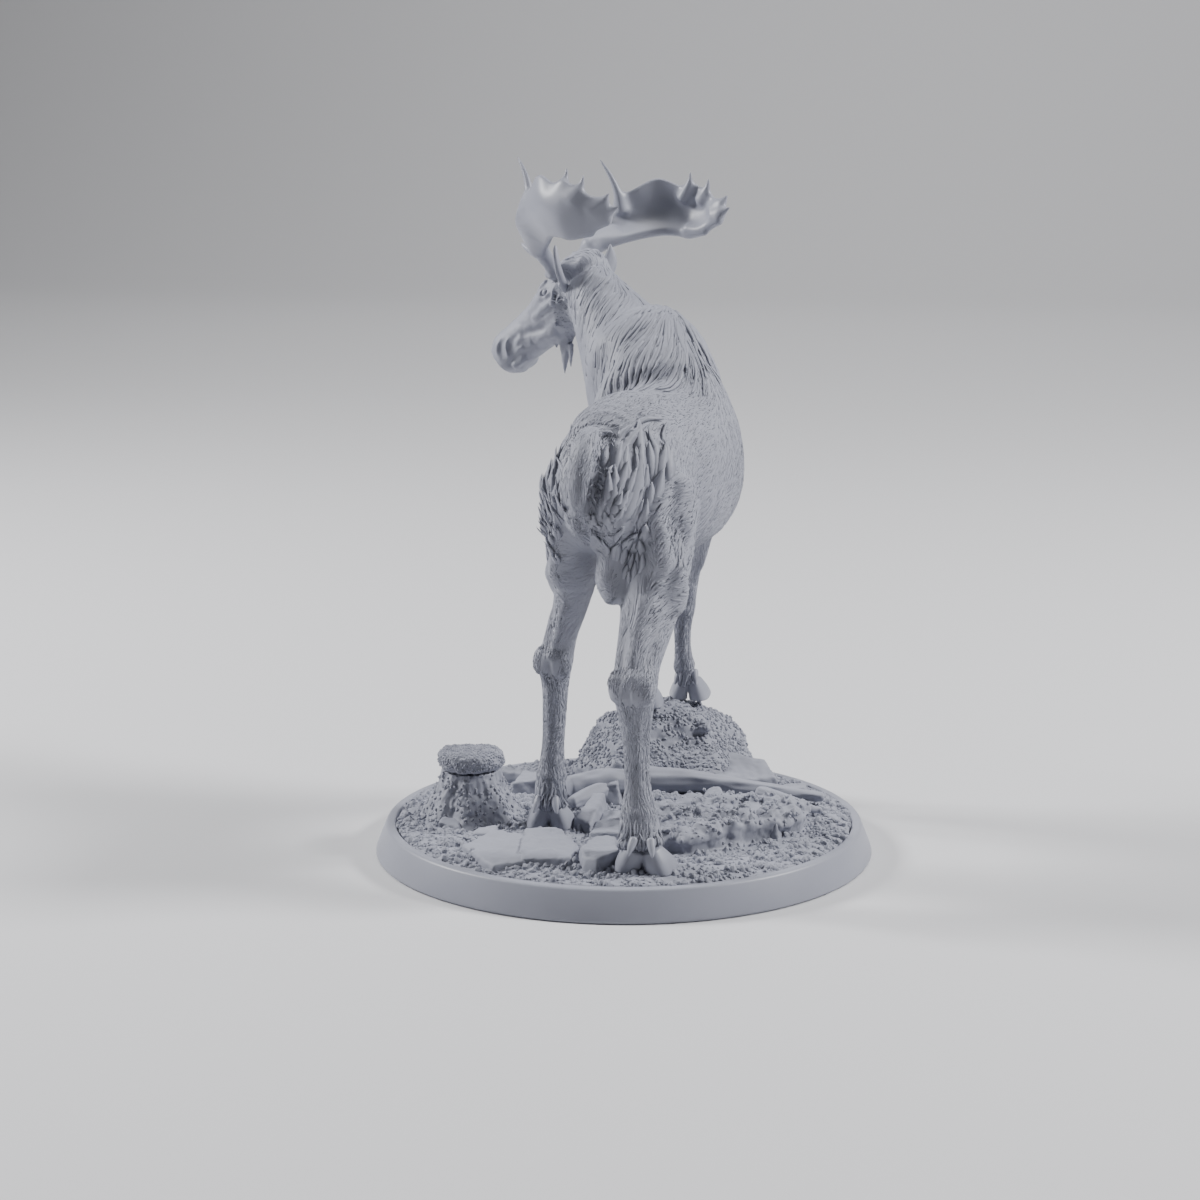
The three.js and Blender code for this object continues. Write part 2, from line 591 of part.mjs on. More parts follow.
const earShell = (side, grow = 0) => loftSolid(bodyLoft(headRows(earStations, side),
  { side: earSettings(side).across, sides: 8, steps: 1, caps: [0.4, 0.3] }), grow);

function earSolid(side) {
  const { openWay, across } = earSettings(side);
  const cupRows = headRows(earStations, side).slice(1).map(([x, y, z, wide, front, rear]) => [
    ...add([x, y, z], openWay, earCup.depth), wide * earCup.share, front * 0.8, rear * 0.9,
  ]);
  const cup = loftSolid(bodyLoft(cupRows, { side: across, sides: 6, steps: 1, caps: [0.3, 0.1] }));
  return earShell(side).subtract(cup).subtract(fleshGrown);
}

const neckLocksSolid = (grow) => locksOn(neckLoft, neckLocks, 31, grow);
const foreEndGrown = fleshGrown.intersect(
  halfSpace(add(neckRoot.point, unit(neckRoot.normal), -gap / 2), neckRoot.normal));
const trunkGrown = fleshGrown.intersect(
  halfSpace(add(neckRoot.point, unit(neckRoot.normal), gap / 2), neckRoot.normal.map((v) => -v)));
const neck = cutAll(foreEnd.add(neckLocksSolid(0).subtract(trunkGrown)),
  [headRegion(gap), ...eyeSides.map(([, side]) => earShell(side, gap))]);

// A leg's upper part is cut out of the trunk along a wider loft of the same leg.
function legRegion(leg, loft, grow) {
  const reach = 0.9;
  const rows = loft.stations.map(([x, y, z, wide, front, rear]) => [
    x, y, z, wide + reach, front + reach, rear + reach,
  ]);
  const region = loftSolid({ ...loft, stations: rows, steps: 1, caps: [1.4, 1] }, grow);
  const inner = [leg.inner - grow * leg.side, 0, 0];
  return region.intersect(halfSpace(inner, [leg.side, 0, 0]));
}

// The locks of each leg, none on a front one.
const legLocksSolid = (leg, i, grow) => locksOn(legLofts[i], legLocks[leg.name] ?? [], 50 + i, grow);
const torsoBare = cutAll(trunk, legs.map((leg, i) => legRegion(leg, legLofts[i], gap)));
const torsoLocksSolid = locksOn(torsoLoft, torsoLocks, 41).subtract(foreEndGrown)
  .subtract(neckLocksSolid(gap));
const torso = cutAll(torsoBare.add(torsoLocksSolid), [
  ...legs.map((leg, i) => legRegion(leg, legLofts[i], gap)),
  ...legs.map((leg, i) => legLocksSolid(leg, i, gap)),
]);

// What a leg's locks keep clear of: the trunk outside the leg's own region, and the other legs.
function otherFlesh(i) {
  return join([trunkGrown, foreEndGrown]).subtract(legRegion(legs[i], legLofts[i], -gap));
}

addNode(mooseGroup, 'torso', torso, shades.coat);
addNode(mooseGroup, 'neck', neck, shades.coat);
addNode(mooseGroup, 'head', head, shades.coat);
for (const [label, side] of eyeSides) {
  addNode(mooseGroup, `eye_${label}`, eyeSolid(side, 0), shades.smooth,
    skullPoint(eye.along, eye.side * side, eye.rise));
}

// ---------------------------------------------------------------- legs

function dewclawSolids(leg) {
  const [x, y, z] = leg.hoof;
  return [-1, 1].map((side) => {
    const root = [x + side * dewclaw.apart, y - dewclaw.behind * 0.6, z + dewclaw.above + 0.5];
    const tip = [x + side * (dewclaw.apart + 0.35), y - dewclaw.behind - 0.7,
      z + dewclaw.above - dewclaw.length];
    const rows = [0, 0.5, 1].map((k) => {
      const radius = mix(dewclaw.radius, 0.12, k * k);
      return [...mixAll(root, tip, k), radius, radius, radius];
    });
    return loftSolid(bodyLoft(rows, { sides: 5, steps: 1, power: 2, caps: [0.3, 0.15] }));
  });
}

// Two claws that part towards their toes and share one coronet.
function hoofSolid(leg, grow) {
  const [x, y, z] = leg.hoof;
  const size = leg.claw;
  const claws = [-1, 1].map((side) => {
    const share = claw.topShare;
    const rows = [
      [side * size * 0.62, 0, claw.height, size * share, claw.heel * share, claw.heel * share],
      [side * size * 0.95, 0.25, claw.height * 0.45, size * 0.92, claw.toe * 0.8, claw.heel * 0.95],
      [side * size * 1.1, 0.5, 0, size, claw.toe, claw.heel],
    ];
    const solid = loftSolid(
      bodyLoft(rows, { sides: 8, steps: 1, power: 2.8, caps: [0, 0] }), grow);
    return solid.rotate([0, 0, -side * leg.spread]);
  });
  return join(claws).rotate([0, 0, leg.heading]).translate([x, y, z]);
}

legs.forEach((leg, i) => {
  const bare = trunk.intersect(legRegion(leg, legLofts[i], 0));
  const whole = bare.add(legLocksSolid(leg, i, 0).subtract(otherFlesh(i)));
  const [below, upper] = parted(whole, leg.stations[leg.joint].slice(0, 3),
    frameAt(legLofts[i], leg.joint).forward);
  const lower = join([below, ...dewclawSolids(leg)]);
  addNode(mooseGroup, `leg_${leg.name}_upper`, upper, shades.coat);
  addNode(mooseGroup, `leg_${leg.name}_cannon`, lower.subtract(hoofSolid(leg, gap)), shades.coat);
  addNode(mooseGroup, `hoof_${leg.name}`, hoofSolid(leg, 0), shades.smooth);
});

// ---------------------------------------------------------------- tail, bell and ears

const tailLoft = bodyLoft(tailStations, { sides: 8, steps: 1, caps: [0.6, 0.4] });
addNode(mooseGroup, 'tail', cutAll(loftSolid(tailLoft).subtract(fleshGrown),
  legs.map((leg, i) => legLocksSolid(leg, i, gap))), shades.coat);

const bellLoft = bodyLoft(headRows(bellStations, 1),
  { side: headRight, sides: 6, steps: 1, caps: [0.6, 0.3] });
addNode(mooseGroup, 'bell', loftSolid(bellLoft).add(locksOn(bellLoft, bellLocks, 61))
  .subtract(fleshGrown).subtract(neckLocksSolid(gap)), shades.coat);

for (const [label, side] of eyeSides) {
  addNode(mooseGroup, `ear_${label}`, earSolid(side), shades.coat);
}

// ---------------------------------------------------------------- antlers

const roundRows = (rows, side) => headRows(rows, side).map(([x, y, z, radius]) => [
  x, y, z, radius, radius, radius,
]);

function beamSolid(side, grow) {
  const settings = { side: [0.2, -0.1, 1], power: 2 };
  const beam = loftSolid(bodyLoft(roundRows(beamStations, side),
    { ...settings, sides: 8, caps: [0.3, 0] }), grow);
  const [root, next] = headRows([burr, beamStations[1].slice(0, 3)], side);
  const collar = new THREE.TorusGeometry(0.7, 0.3 + grow, 5, 9);
  collar.applyQuaternion(new THREE.Quaternion().setFromUnitVectors(
    new THREE.Vector3(...up), new THREE.Vector3(...unit(add(next, root, -1)))));
  collar.translate(...root);
  const tine = loftSolid(bodyLoft(roundRows(side > 0 ? browTines.right : browTines.left, side),
    { ...settings, sides: 6, steps: 1, caps: [0.2, 0.15] }), grow);
  return join([beam, solidOf(collar), tine]);
}

// A grid of points between the ribs' low and high ends, bowed outwards, with a face on each side.
function palmPlate(side) {
  const { rows, columns, bulge } = palm;
  const lows = palmRibs.map((rib) => rib.low);
  const highs = palmRibs.map((rib) => rib.high);
  const grid = [];
  for (let c = 0; c <= columns; c += 1) {
    const place = (c / columns) * (palmRibs.length - 1);
    const inSpan = Math.sin((Math.PI * c) / columns);
    for (let r = 0; r <= rows; r += 1) {
      const k = r / rows;
      const [s, b, z] = mixAll(along(lows, place), along(highs, place), k);
      grid.push(leaned((s + bulge * inSpan * Math.sin(Math.PI * k)) * side, b, z));
    }
  }
  const at = (c, r) => grid[Math.max(0, Math.min(columns, c)) * (rows + 1)
    + Math.max(0, Math.min(rows, r))];
  const points = [];
  for (const face of [1, -1]) {
    for (let c = 0; c <= columns; c += 1) {
      for (let r = 0; r <= rows; r += 1) {
        const normal = unit(cross(add(at(c + 1, r), at(c - 1, r), -1),
          add(at(c, r + 1), at(c, r - 1), -1)));
        const edge = c === 0 || c === columns ? 0.75 : 1;
        const thick = mix(palm.lowThick, palm.highThick, r / rows) * edge;
        points.push(add(at(c, r), normal, (face * thick) / 2));
      }
    }
  }
  const back = (columns + 1) * (rows + 1);
  const id = (c, r) => c * (rows + 1) + r;
  const faces = [];
  const quad = (a, b, c, d) => faces.push([a, b, c], [a, c, d]);
  for (let c = 0; c < columns; c += 1) {
    for (let r = 0; r < rows; r += 1) {
      quad(id(c, r), id(c + 1, r), id(c + 1, r + 1), id(c, r + 1));
      faces.push([back + id(c, r), back + id(c + 1, r + 1), back + id(c + 1, r)],
        [back + id(c, r), back + id(c, r + 1), back + id(c + 1, r + 1)]);
    }
    quad(id(c + 1, 0), id(c, 0), back + id(c, 0), back + id(c + 1, 0));
    quad(id(c, rows), id(c + 1, rows), back + id(c + 1, rows), back + id(c, rows));
  }
  for (let r = 0; r < rows; r += 1) {
    quad(id(0, r), id(0, r + 1), back + id(0, r + 1), back + id(0, r));
    quad(id(columns, r + 1), id(columns, r), back + id(columns, r), back + id(columns, r + 1));
  }
  return solidFrom(points, faces);
}

function palmSolid(side) {
  const points = tines.map(({ from, to, radius }) => {
    const rows = [0, 0.5, 1].map((k) => [...mixAll(from, to, k), mix(radius, 0.2, k ** 0.8)]);
    return loftSolid(bodyLoft(roundRows(rows, side),
      { side: headRight, sides: 5, steps: 1, power: 2, caps: [0, 0] }));
  });
  const [low, high] = headRows([palmRibs[1].low, palmRibs[1].high], side);
  const root = loftSolid(bodyLoft(headRows(palmRoot, side).map((row) => [...row, row[4]]),
    { side: unit(add(high, low, -1)), sides: 8, power: 2, caps: [0, 0.2] }));
  return join([palmPlate(side), root, ...points]);
}

for (const [label, side] of eyeSides) {
  const beamEnd = roundRows(beamStations, side);
  const forward = unit(add(beamEnd.at(-1).slice(0, 3), beamEnd.at(-2).slice(0, 3), -1));
  const beam = beamSolid(side, 0).subtract(fleshGrown);
  addNode(mooseGroup, `antler_beam_${label}`, beam, shades.smooth);
  addNode(mooseGroup, `antler_palm_${label}`, palmSolid(side).intersect(
    halfSpace(add(beamEnd.at(-1).slice(0, 3), forward, gap), forward)), shades.smooth);
}

// ---------------------------------------------------------------- base and its scenery

// Scenery is laid out in its own frame, turned about Z: x to the right and y away.
const layTurn = radians(12);
const lay = (x, y, z) => [
  x * Math.cos(layTurn) - y * Math.sin(layTurn), x * Math.sin(layTurn) + y * Math.cos(layTurn), z,
];

function baseDisc() {
  const { radius, rimRadius, rimHeight, lipWidth, floor, sides } = base;
  const profile = [
    [0, 0], [radius - 0.15, 0], [radius, 0.15], [rimRadius + 0.15, rimHeight - 0.2],
    [rimRadius - 0.1, rimHeight], [rimRadius - lipWidth + 0.1, rimHeight],
    [rimRadius - lipWidth, rimHeight - 0.1], [rimRadius - lipWidth, floor], [0, floor],
  ];
  const geometry = new THREE.LatheGeometry(profile.map(([r, z]) => new THREE.Vector2(r, z)), sides);
  geometry.rotateX(Math.PI / 2);
  return solidOf(geometry);
}

// A stone: a ball pressed towards a box of the half sizes given, with flat chips taken off it.
function stone({ at, half, turn = [0, 0, 0], detail = 2, square = 5, chips = 5, seed = 1 }, grow = 0) {
  const random = seededRandom(seed);
  const chipList = Array.from({ length: chips }, () => ({
    way: unit([random(-1, 1), random(-1, 1), random(-0.2, 1)]), reach: random(0.72, 0.9),
  }));
  const geometry = new THREE.IcosahedronGeometry(1, detail);
  const spots = geometry.attributes.position;
  for (let i = 0; i < spots.count; i += 1) {
    const way = unit([spots.getX(i), spots.getY(i), spots.getZ(i)]);
    const fullness = way.reduce((sum, v) => sum + Math.abs(v) ** square, 0);
    let reach = fullness ** (-1 / square);
    for (const chip of chipList) {
      const lean = dot(way, chip.way);
      if (lean > 0.2) reach = Math.min(reach, (chip.reach * 1.15) / lean);
    }
    spots.setXYZ(i, ...way.map((v, c) => v * reach * half[c] + v * grow));
  }
  geometry.applyQuaternion(new THREE.Quaternion().setFromEuler(
    new THREE.Euler(...turn.map(radians), 'XYZ')));
  geometry.rotateZ(layTurn);
  geometry.translate(...lay(...at));
  return solidOf(geometry);
}

const boulderShape = {
  at: [3.8, 15.5, 3.6], half: [10.4, 7.3, 8.3], detail: 3, square: 2.5, chips: 6, seed: 11,
};
// Slabs of rock and a low bank of earth that belong to the ground.
const groundStones = [
  { at: [9.6, 10.2, 5.3], half: [5.8, 2.9, 1.1], turn: [20, 3, -4], detail: 1, seed: 3 },
  { at: [-9.7, -13.1, 3.2], half: [5.4, 4.9, 0.9], turn: [2, -2, 20], detail: 1, seed: 5 },
  { at: [-2.4, -14.9, 3.5], half: [1.9, 4.0, 0.9], turn: [0, 4, 4], detail: 1, seed: 6 },
  { at: [-1.7, -5.4, 3.6], half: [2.0, 3.8, 0.8], turn: [4, -6, 8], detail: 1, seed: 8 },
  { at: [9.6, -5.9, 3.2], half: [9.3, 7.4, 2.2], turn: [0, 2, 14], square: 2.6, chips: 7, seed: 21 },
];
const stump = {
  at: [-15.4, 0.2], radius: 2.95, foot: 5.6, flare: 1.35, top: 8.0, capHeight: 1.6, ridges: 8, sides: 22,
};
const logRows = [
  [-5.8, 4.6, 4.9, 1.15], [-2.2, 5.7, 5.0, 1.4], [1.8, 6.5, 5.0, 1.45], [7.0, 6.4, 4.95, 1.3],
  [12.0, 5.2, 4.7, 1.0], [16.5, 3.9, 4.5, 0.75], [20.6, 2.9, 4.2, 0.5],
];
const forkRows = [[13.8, 4.4, 4.4, 0.75], [17.0, 1.2, 4.2, 0.6], [20.0, -1.2, 3.9, 0.4]];
const stubRows = [[-5.4, 0.8, 4.2, 0.62], [-3.4, 3.0, 4.5, 0.75], [-1.0, 5.4, 4.7, 0.8]];

function stumpRows(grow) {
  const levels = [0, 0.12, 0.3, 0.6, 1];
  return levels.map((k) => {
    const flare = (stump.foot - stump.radius) * (1 - k) ** stump.flare;
    return { z: mix(bed, stump.top, k), radius: stump.radius + flare + grow, rough: mix(0.1, 0.04, k) };
  });
}

function stumpSolid(grow) {
  const rings = stumpRows(grow);
  const points = [];
  const faces = [];
  rings.forEach(({ z, radius, rough }, r) => {
    for (let i = 0; i < stump.sides; i += 1) {
      const angle = (2 * Math.PI * i) / stump.sides;
      const wave = 1 + rough * Math.cos(stump.ridges * angle + 0.6 * Math.sin(3 * angle));
      const lift = r === rings.length - 1 ? grow : 0;
      points.push(lay(stump.at[0] + radius * wave * Math.cos(angle),
        stump.at[1] + radius * wave * Math.sin(angle), z + lift));
    }
  });
  const { sides } = stump;
  for (let r = 0; r < rings.length - 1; r += 1) {
    for (let i = 0; i < sides; i += 1) {
      const [a, b] = [r * sides + i, r * sides + ((i + 1) % sides)];
      faces.push([a, b, a + sides], [b, b + sides, a + sides]);
    }
  }
  const top = points.length;
  points.push(lay(...stump.at, stump.top + grow), lay(...stump.at, bed));
  for (let i = 0; i < sides; i += 1) {
    const next = (i + 1) % sides;
    const start = (rings.length - 1) * sides;
    faces.push([start + i, start + next, top], [next, i, top + 1]);
  }
  return solidFrom(points, faces);
}

function mossCap() {
  const profile = [
    [0, 0], [stump.radius + 0.1, 0], [stump.radius + 0.4, 0.6], [stump.radius + 0.3, 1.2],
    [stump.radius * 0.85, stump.capHeight], [0, stump.capHeight + 0.1],
  ];
  const geometry = new THREE.LatheGeometry(profile.map(([r, z]) => new THREE.Vector2(r, z)), 20);
  geometry.rotateX(Math.PI / 2);
  geometry.translate(...lay(...stump.at, stump.top + gap));
  return solidOf(geometry);
}

function logSolid(grow) {
  const rows = (list) => list.map(([x, y, z, radius]) => [...lay(x, y, z), radius, radius, radius]);
  const settings = { side: [0, 0, 1], sides: 6, steps: 1, power: 2 };
  return join([
    loftSolid(bodyLoft(rows(logRows), { ...settings, caps: [0.6, 0.4] }), grow),
    loftSolid(bodyLoft(rows(forkRows), { ...settings, caps: [0.3, 0.3] }), grow),
    loftSolid(bodyLoft(rows(stubRows), { ...settings, caps: [0.3, 0.3] }), grow),
  ]);
}

// The soil: a round plate with low waves on its upper face.
function soilPlate() {
  const rings = 3;
  const sectors = 24;
  const points = [];
  const faces = [];
  for (let r = 1; r <= rings; r += 1) {
    for (let i = 0; i < sectors; i += 1) {
      const angle = (2 * Math.PI * i) / sectors;
      const distance = (soil.radius * r) / rings;
      const [x, y] = [distance * Math.cos(angle), distance * Math.sin(angle)];
      const wave = Math.sin(0.55 * x + 1.3) * Math.cos(0.47 * y) + 0.5 * Math.sin(0.9 * y - 0.4 * x);
      const edge = r === rings ? -0.25 : 0;
      points.push([x, y, soil.level + soil.relief * wave + edge]);
    }
  }
  const under = points.length;
  for (let i = 0; i < sectors; i += 1) {
    const angle = (2 * Math.PI * i) / sectors;
    points.push([soil.radius * Math.cos(angle), soil.radius * Math.sin(angle), bed]);
  }
  points.push([0, 0, soil.level], [0, 0, bed]);
  const crown = points.length - 2;
  for (let i = 0; i < sectors; i += 1) {
    const next = (i + 1) % sectors;
    faces.push([i, next, crown], [under + next, under + i, crown + 1]);
    for (let r = 0; r < rings; r += 1) {
      const [a, b] = [r * sectors + i, r * sectors + next];
      faces.push([b, a, a + sectors], [b, a + sectors, b + sectors]);
    }
  }
  return solidFrom(points, faces);
}

const aboveBed = halfSpace([0, 0, bed], up);
const inRim = (() => {
  const geometry = new THREE.CylinderGeometry(soil.radius, soil.radius, 60, 48);
  geometry.rotateX(Math.PI / 2);
  geometry.translate(0, 0, 30);
  return solidOf(geometry);
})();

// Pieces of scenery, first come first kept: each later one is cut clear of those before it.
const hoofSockets = legs.map((leg) => hoofSolid(leg, gap));
const placed = [...hoofSockets];
function addScenery(name, make, shade = shades.terrain) {
  const solid = cutAll(make(0).intersect(aboveBed).intersect(inRim), placed);
  placed.push(make(gap));
  addNode(baseGroup, name, solid, shade);
}

addNode(baseGroup, 'base_disc', baseDisc(), shades.smooth);
addScenery('stump', stumpSolid);
addNode(baseGroup, 'stump_moss', mossCap(), shades.terrain);
addScenery('log', logSolid);
addScenery('boulder', (grow) => stone(boulderShape, grow));
addScenery('ground', () => join([soilPlate(), ...groundStones.map((shape) => stone(shape))]));

export default figurine;
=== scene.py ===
# A cast resin moose on a round scenic base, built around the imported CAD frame.
# Lengths are millimetres in the CAD frame, and turn to metres in meshPiece.
import math
import bpy
import mathutils
import numpy as np
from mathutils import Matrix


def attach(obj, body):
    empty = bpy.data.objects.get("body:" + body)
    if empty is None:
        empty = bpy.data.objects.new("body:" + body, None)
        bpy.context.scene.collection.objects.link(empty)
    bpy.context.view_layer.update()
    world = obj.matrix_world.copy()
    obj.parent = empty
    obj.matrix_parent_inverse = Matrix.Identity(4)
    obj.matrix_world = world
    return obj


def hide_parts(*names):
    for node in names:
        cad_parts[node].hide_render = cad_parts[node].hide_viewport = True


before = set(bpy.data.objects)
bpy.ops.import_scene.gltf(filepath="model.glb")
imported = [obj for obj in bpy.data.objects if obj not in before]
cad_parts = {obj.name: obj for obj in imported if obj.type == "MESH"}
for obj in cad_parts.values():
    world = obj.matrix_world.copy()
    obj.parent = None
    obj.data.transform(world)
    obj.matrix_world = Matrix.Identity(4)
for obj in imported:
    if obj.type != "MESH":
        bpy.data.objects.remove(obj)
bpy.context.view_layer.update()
metre = 0.001
up = np.array([0.0, 0.0, 1.0])


# numbers and curves

def unit(v):
    return v / np.maximum(np.linalg.norm(v, axis=-1, keepdims=True), 1e-9)


def mix(a, b, k):
    return a + (b - a) * k


def smoothStep(low, high, value):
    k = np.clip((value - low) / (high - low), 0, 1)
    return k * k * (3 - 2 * k)


def along(stations, place):
    # Catmull-Rom through the stations
    rows = np.asarray(stations, float)
    last = len(rows) - 1
    place = np.atleast_1d(np.asarray(place, float))
    start = np.clip(np.floor(place).astype(int), 0, last - 1)
    k = (place - start)[:, None]
    a, b, d, e = (rows[np.clip(start + i, 0, last)] for i in (-1, 0, 1, 2))
    bend = 2 * a - 5 * b + 4 * d - e
    twist = 3 * b - a - 3 * d + e
    return 0.5 * (2 * b + (d - a) * k + bend * k**2 + twist * k**3)


def framesAt(loft, place):
    last = len(loft["stations"]) - 1
    place = np.atleast_1d(place)
    before = along(loft["stations"], np.clip(place - 0.02, 0, last))[:, :3]
    after = along(loft["stations"], np.clip(place + 0.02, 0, last))[:, :3]
    forward = unit(after - before)
    side = np.asarray(loft["side"], float)
    right = unit(side - forward * (forward @ side)[:, None])
    return forward, right, np.cross(right, forward)


def surfacePoint(loft, place, angle, lift=0.0):
    # a point on a loft's skin; angle 0 is its right and a quarter turn its crest
    place, angle = np.broadcast_arrays(np.atleast_1d(place).astype(float), angle)
    rows = along(loft["stations"], place)
    _, right, rise = framesAt(loft, place)
    power = 2 / loft["power"]
    c, s = np.cos(angle), np.sin(angle)
    high = np.where(s > 0, rows[:, 4], rows[:, 5])
    sideways = (rows[:, 3] + lift) * np.sign(c) * np.abs(c) ** power
    upwards = (high + lift) * np.sign(s) * np.abs(s) ** power
    return rows[:, :3] + right * sideways[:, None] + rise * upwards[:, None]


def latticeNoise(points, size, seed=0):
    # smooth noise from -1 to 1
    p = np.asarray(points) / size + seed * 17.31
    cell = np.floor(p).astype(np.int64)
    f = p - cell
    f = f * f * (3 - 2 * f)
    total = np.zeros(p.shape[:-1])
    for corner in np.ndindex(2, 2, 2):
        c = cell + np.array(corner)
        mixed = c[..., 0] * 73856093 ^ c[..., 1] * 19349663 ^ c[..., 2] * 83492791
        mixed = (mixed * 2654435761) & 0xFFFFFFFF
        value = ((mixed >> 7) & 0xFFFF) / 32767.5 - 1
        weight = np.prod(np.where(corner, f, 1 - f), axis=-1)
        total += value * weight
    return total


# meshes

def thinMesh(piece, triangles):
    # reduces a piece's mesh to about so many triangles
    change = piece.modifiers.new("thinner", "DECIMATE")
    piece.data.calc_loop_triangles()
    change.ratio = min(1.0, triangles / len(piece.data.loop_triangles))
    graph = bpy.context.evaluated_depsgraph_get()
    thin = bpy.data.meshes.new_from_object(piece.evaluated_get(graph), depsgraph=graph)
    piece.modifiers.clear()
    piece.data = thin


def meshPiece(name, points, faces, material, replaced=(), uv=None, most=None):
    # faces is a list of index arrays, each with its own number of corners
    mesh = bpy.data.meshes.new(name)
    points = np.asarray(points, float) * metre
    loops = np.concatenate([f.ravel() for f in faces]).astype(np.int32)
    counts = np.concatenate([np.full(len(f), f.shape[1]) for f in faces])
    starts = np.concatenate([[0], np.cumsum(counts)[:-1]]).astype(np.int32)
    mesh.vertices.add(len(points))
    mesh.vertices.foreach_set("co", points.astype(np.float32).ravel())
    mesh.loops.add(len(loops))
    mesh.loops.foreach_set("vertex_index", loops)
    mesh.polygons.add(len(starts))
    mesh.polygons.foreach_set("loop_start", starts)
    mesh.polygons.foreach_set("use_smooth", np.ones(len(starts), bool))
    mesh.update(calc_edges=True)
    if uv is not None:
        layer = mesh.uv_layers.new(name="OFBake")
        layer.data.foreach_set("uv", uv[loops].astype(np.float32).ravel())
    mesh.materials.append(material)
    piece = bpy.data.objects.new(name, mesh)
    bpy.context.scene.collection.objects.link(piece)
    if most:
        thinMesh(piece, most)
    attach(piece, "root")
    if replaced:
        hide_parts(*replaced)
    piece.data.calc_loop_triangles()
    print(f"{name}: {len(piece.data.loop_triangles)} triangles")
    return piece


# clay: a grid of distances to the surface, below zero inside

def newClay(low, high, pitch):
    low = np.array(low, float)
    shape = np.ceil((np.array(high) - low) / pitch).astype(int) + 1
    return {"low": low, "pitch": pitch, "values": np.full(shape, 9.0, np.float32),
            "parts": np.zeros(shape, np.int8)}


def clayBox(clay, low, high):
    shape = np.array(clay["values"].shape)
    first = np.clip(np.floor((low - clay["low"]) / clay["pitch"]).astype(int), 0, shape)
    stop = np.clip(np.ceil((high - clay["low"]) / clay["pitch"]).astype(int) + 1, 0, shape)
    if np.any(stop <= first):
        return None
    axes = [clay["low"][i] + clay["pitch"] * np.arange(first[i], stop[i]) for i in range(3)]
    points = np.stack(np.meshgrid(*axes, indexing="ij"), -1).astype(np.float32)
    return tuple(slice(a, b) for a, b in zip(first, stop)), points


def segmentDistance(points, a, b, frames, power, cap):
    # a and b are rows of a loft, frames the unit vectors of the stretch between them
    axis = b[:3] - a[:3]
    t = np.clip((points - a[:3]) @ axis / max(axis @ axis, 1e-9), 0, 1)[..., None]
    wide, high, low = np.moveaxis(a[3:6] + t * (b[3:6] - a[3:6]), -1, 0)
    d = points - (a[:3] + t * axis)
    forward, right, rise = frames
    u = np.abs(d @ right) / wide
    v = d @ rise
    v = np.where(v > 0, v / high, -v / low)
    w = (d @ forward) / cap
    reach = np.maximum(((u**power + v**power) ** (2 / power) + w**2) ** 0.5, 1e-4)
    size = np.linalg.norm(d, axis=-1)
    return size - size / reach


def loftValues(clay, loft, steps=4, margin=1.3):
    values = np.full(clay["values"].shape, 9.0, np.float32)
    stations = loft["stations"]
    count = (len(stations) - 1) * steps
    places = np.linspace(0, len(stations) - 1, count + 1)
    rows = along(stations, places)
    forward, right, rise = framesAt(loft, places)
    for i in range(count):
        a, b = rows[i], rows[i + 1]
        reach = max(a[3:].max(), b[3:].max()) + margin
        box = clayBox(clay, np.minimum(a[:3], b[:3]) - reach, np.maximum(a[:3], b[:3]) + reach)
        if box is None:
            continue
        cap = 0.5 * np.linalg.norm(b[:3] - a[:3]) + 0.05
        if i == 0:
            cap = max(loft["caps"][0], cap)
        if i == count - 1:
            cap = max(loft["caps"][1], cap)
        turned = [unit(m[i] + m[i + 1]) for m in (forward, right, rise)]
        slices, points = box
        near = segmentDistance(points, a, b, turned, loft["power"], cap)
        values[slices] = np.minimum(values[slices], near)
    return values


def blendIn(clay, values, part, soft):
    old = clay["values"]
    h = np.clip(0.5 + 0.5 * (old - values) / soft, 0, 1)
    clay["parts"][values < old] = part
    clay["values"] = (old * (1 - h) + values * h - soft * h * (1 - h)).astype(np.float32)


def addStroke(clay, knots, width, depth, taper=3):
    # raises the clay along a line through the knots, or carves it where depth is below zero
    line = along(knots, np.linspace(0, len(knots) - 1, 6 * len(knots)))[:, :3]
    reach = 2.1 * width
    box = clayBox(clay, line.min(0) - reach, line.max(0) + reach)
    if box is None:
        return
    slices, points = box
    best = np.full(points.shape[:-1], 99.0, np.float32)
    place = np.zeros(points.shape[:-1], np.float32)
    last = len(line) - 1
    for i in range(last):
        axis = line[i + 1] - line[i]
        t = np.clip((points - line[i]) @ axis / max(axis @ axis, 1e-9), 0, 1)
        gap = np.linalg.norm(points - (line[i] + t[..., None] * axis), axis=-1)
        nearer = gap < best
        best = np.where(nearer, gap, best)
        place = np.where(nearer, (i + t) / last, place)
    fade = 1 - np.abs(2 * place - 1) ** taper if taper else 1
    clay["values"][slices] -= (depth * fade * np.exp(-((best / width) ** 2))).astype(np.float32)


def addBeads(clay, centres, radii):
    # the union of many small balls, for sheets and tines
    pitch, low = clay["pitch"], clay["low"]
    half = int(math.ceil((radii.max() + 0.35) / pitch))
    steps = np.arange(-half, half + 1)
    offsets = np.stack(np.meshgrid(steps, steps, steps, indexing="ij"), -1).reshape(-1, 3)
    flat = clay["values"].reshape(-1)
    shape = np.array(clay["values"].shape)
    for start in range(0, len(centres), 2000):
        some = centres[start:start + 2000]
        cells = np.round((some - low) / pitch).astype(int)[:, None] + offsets
        gaps = np.linalg.norm(low + cells * pitch - some[:, None], axis=-1)
        gaps -= radii[start:start + 2000, None]
        fits = np.all((cells >= 0) & (cells < shape), axis=-1)
        spots = np.ravel_multi_index(cells[fits].T, shape)
        np.minimum.at(flat, spots, gaps[fits].astype(np.float32))


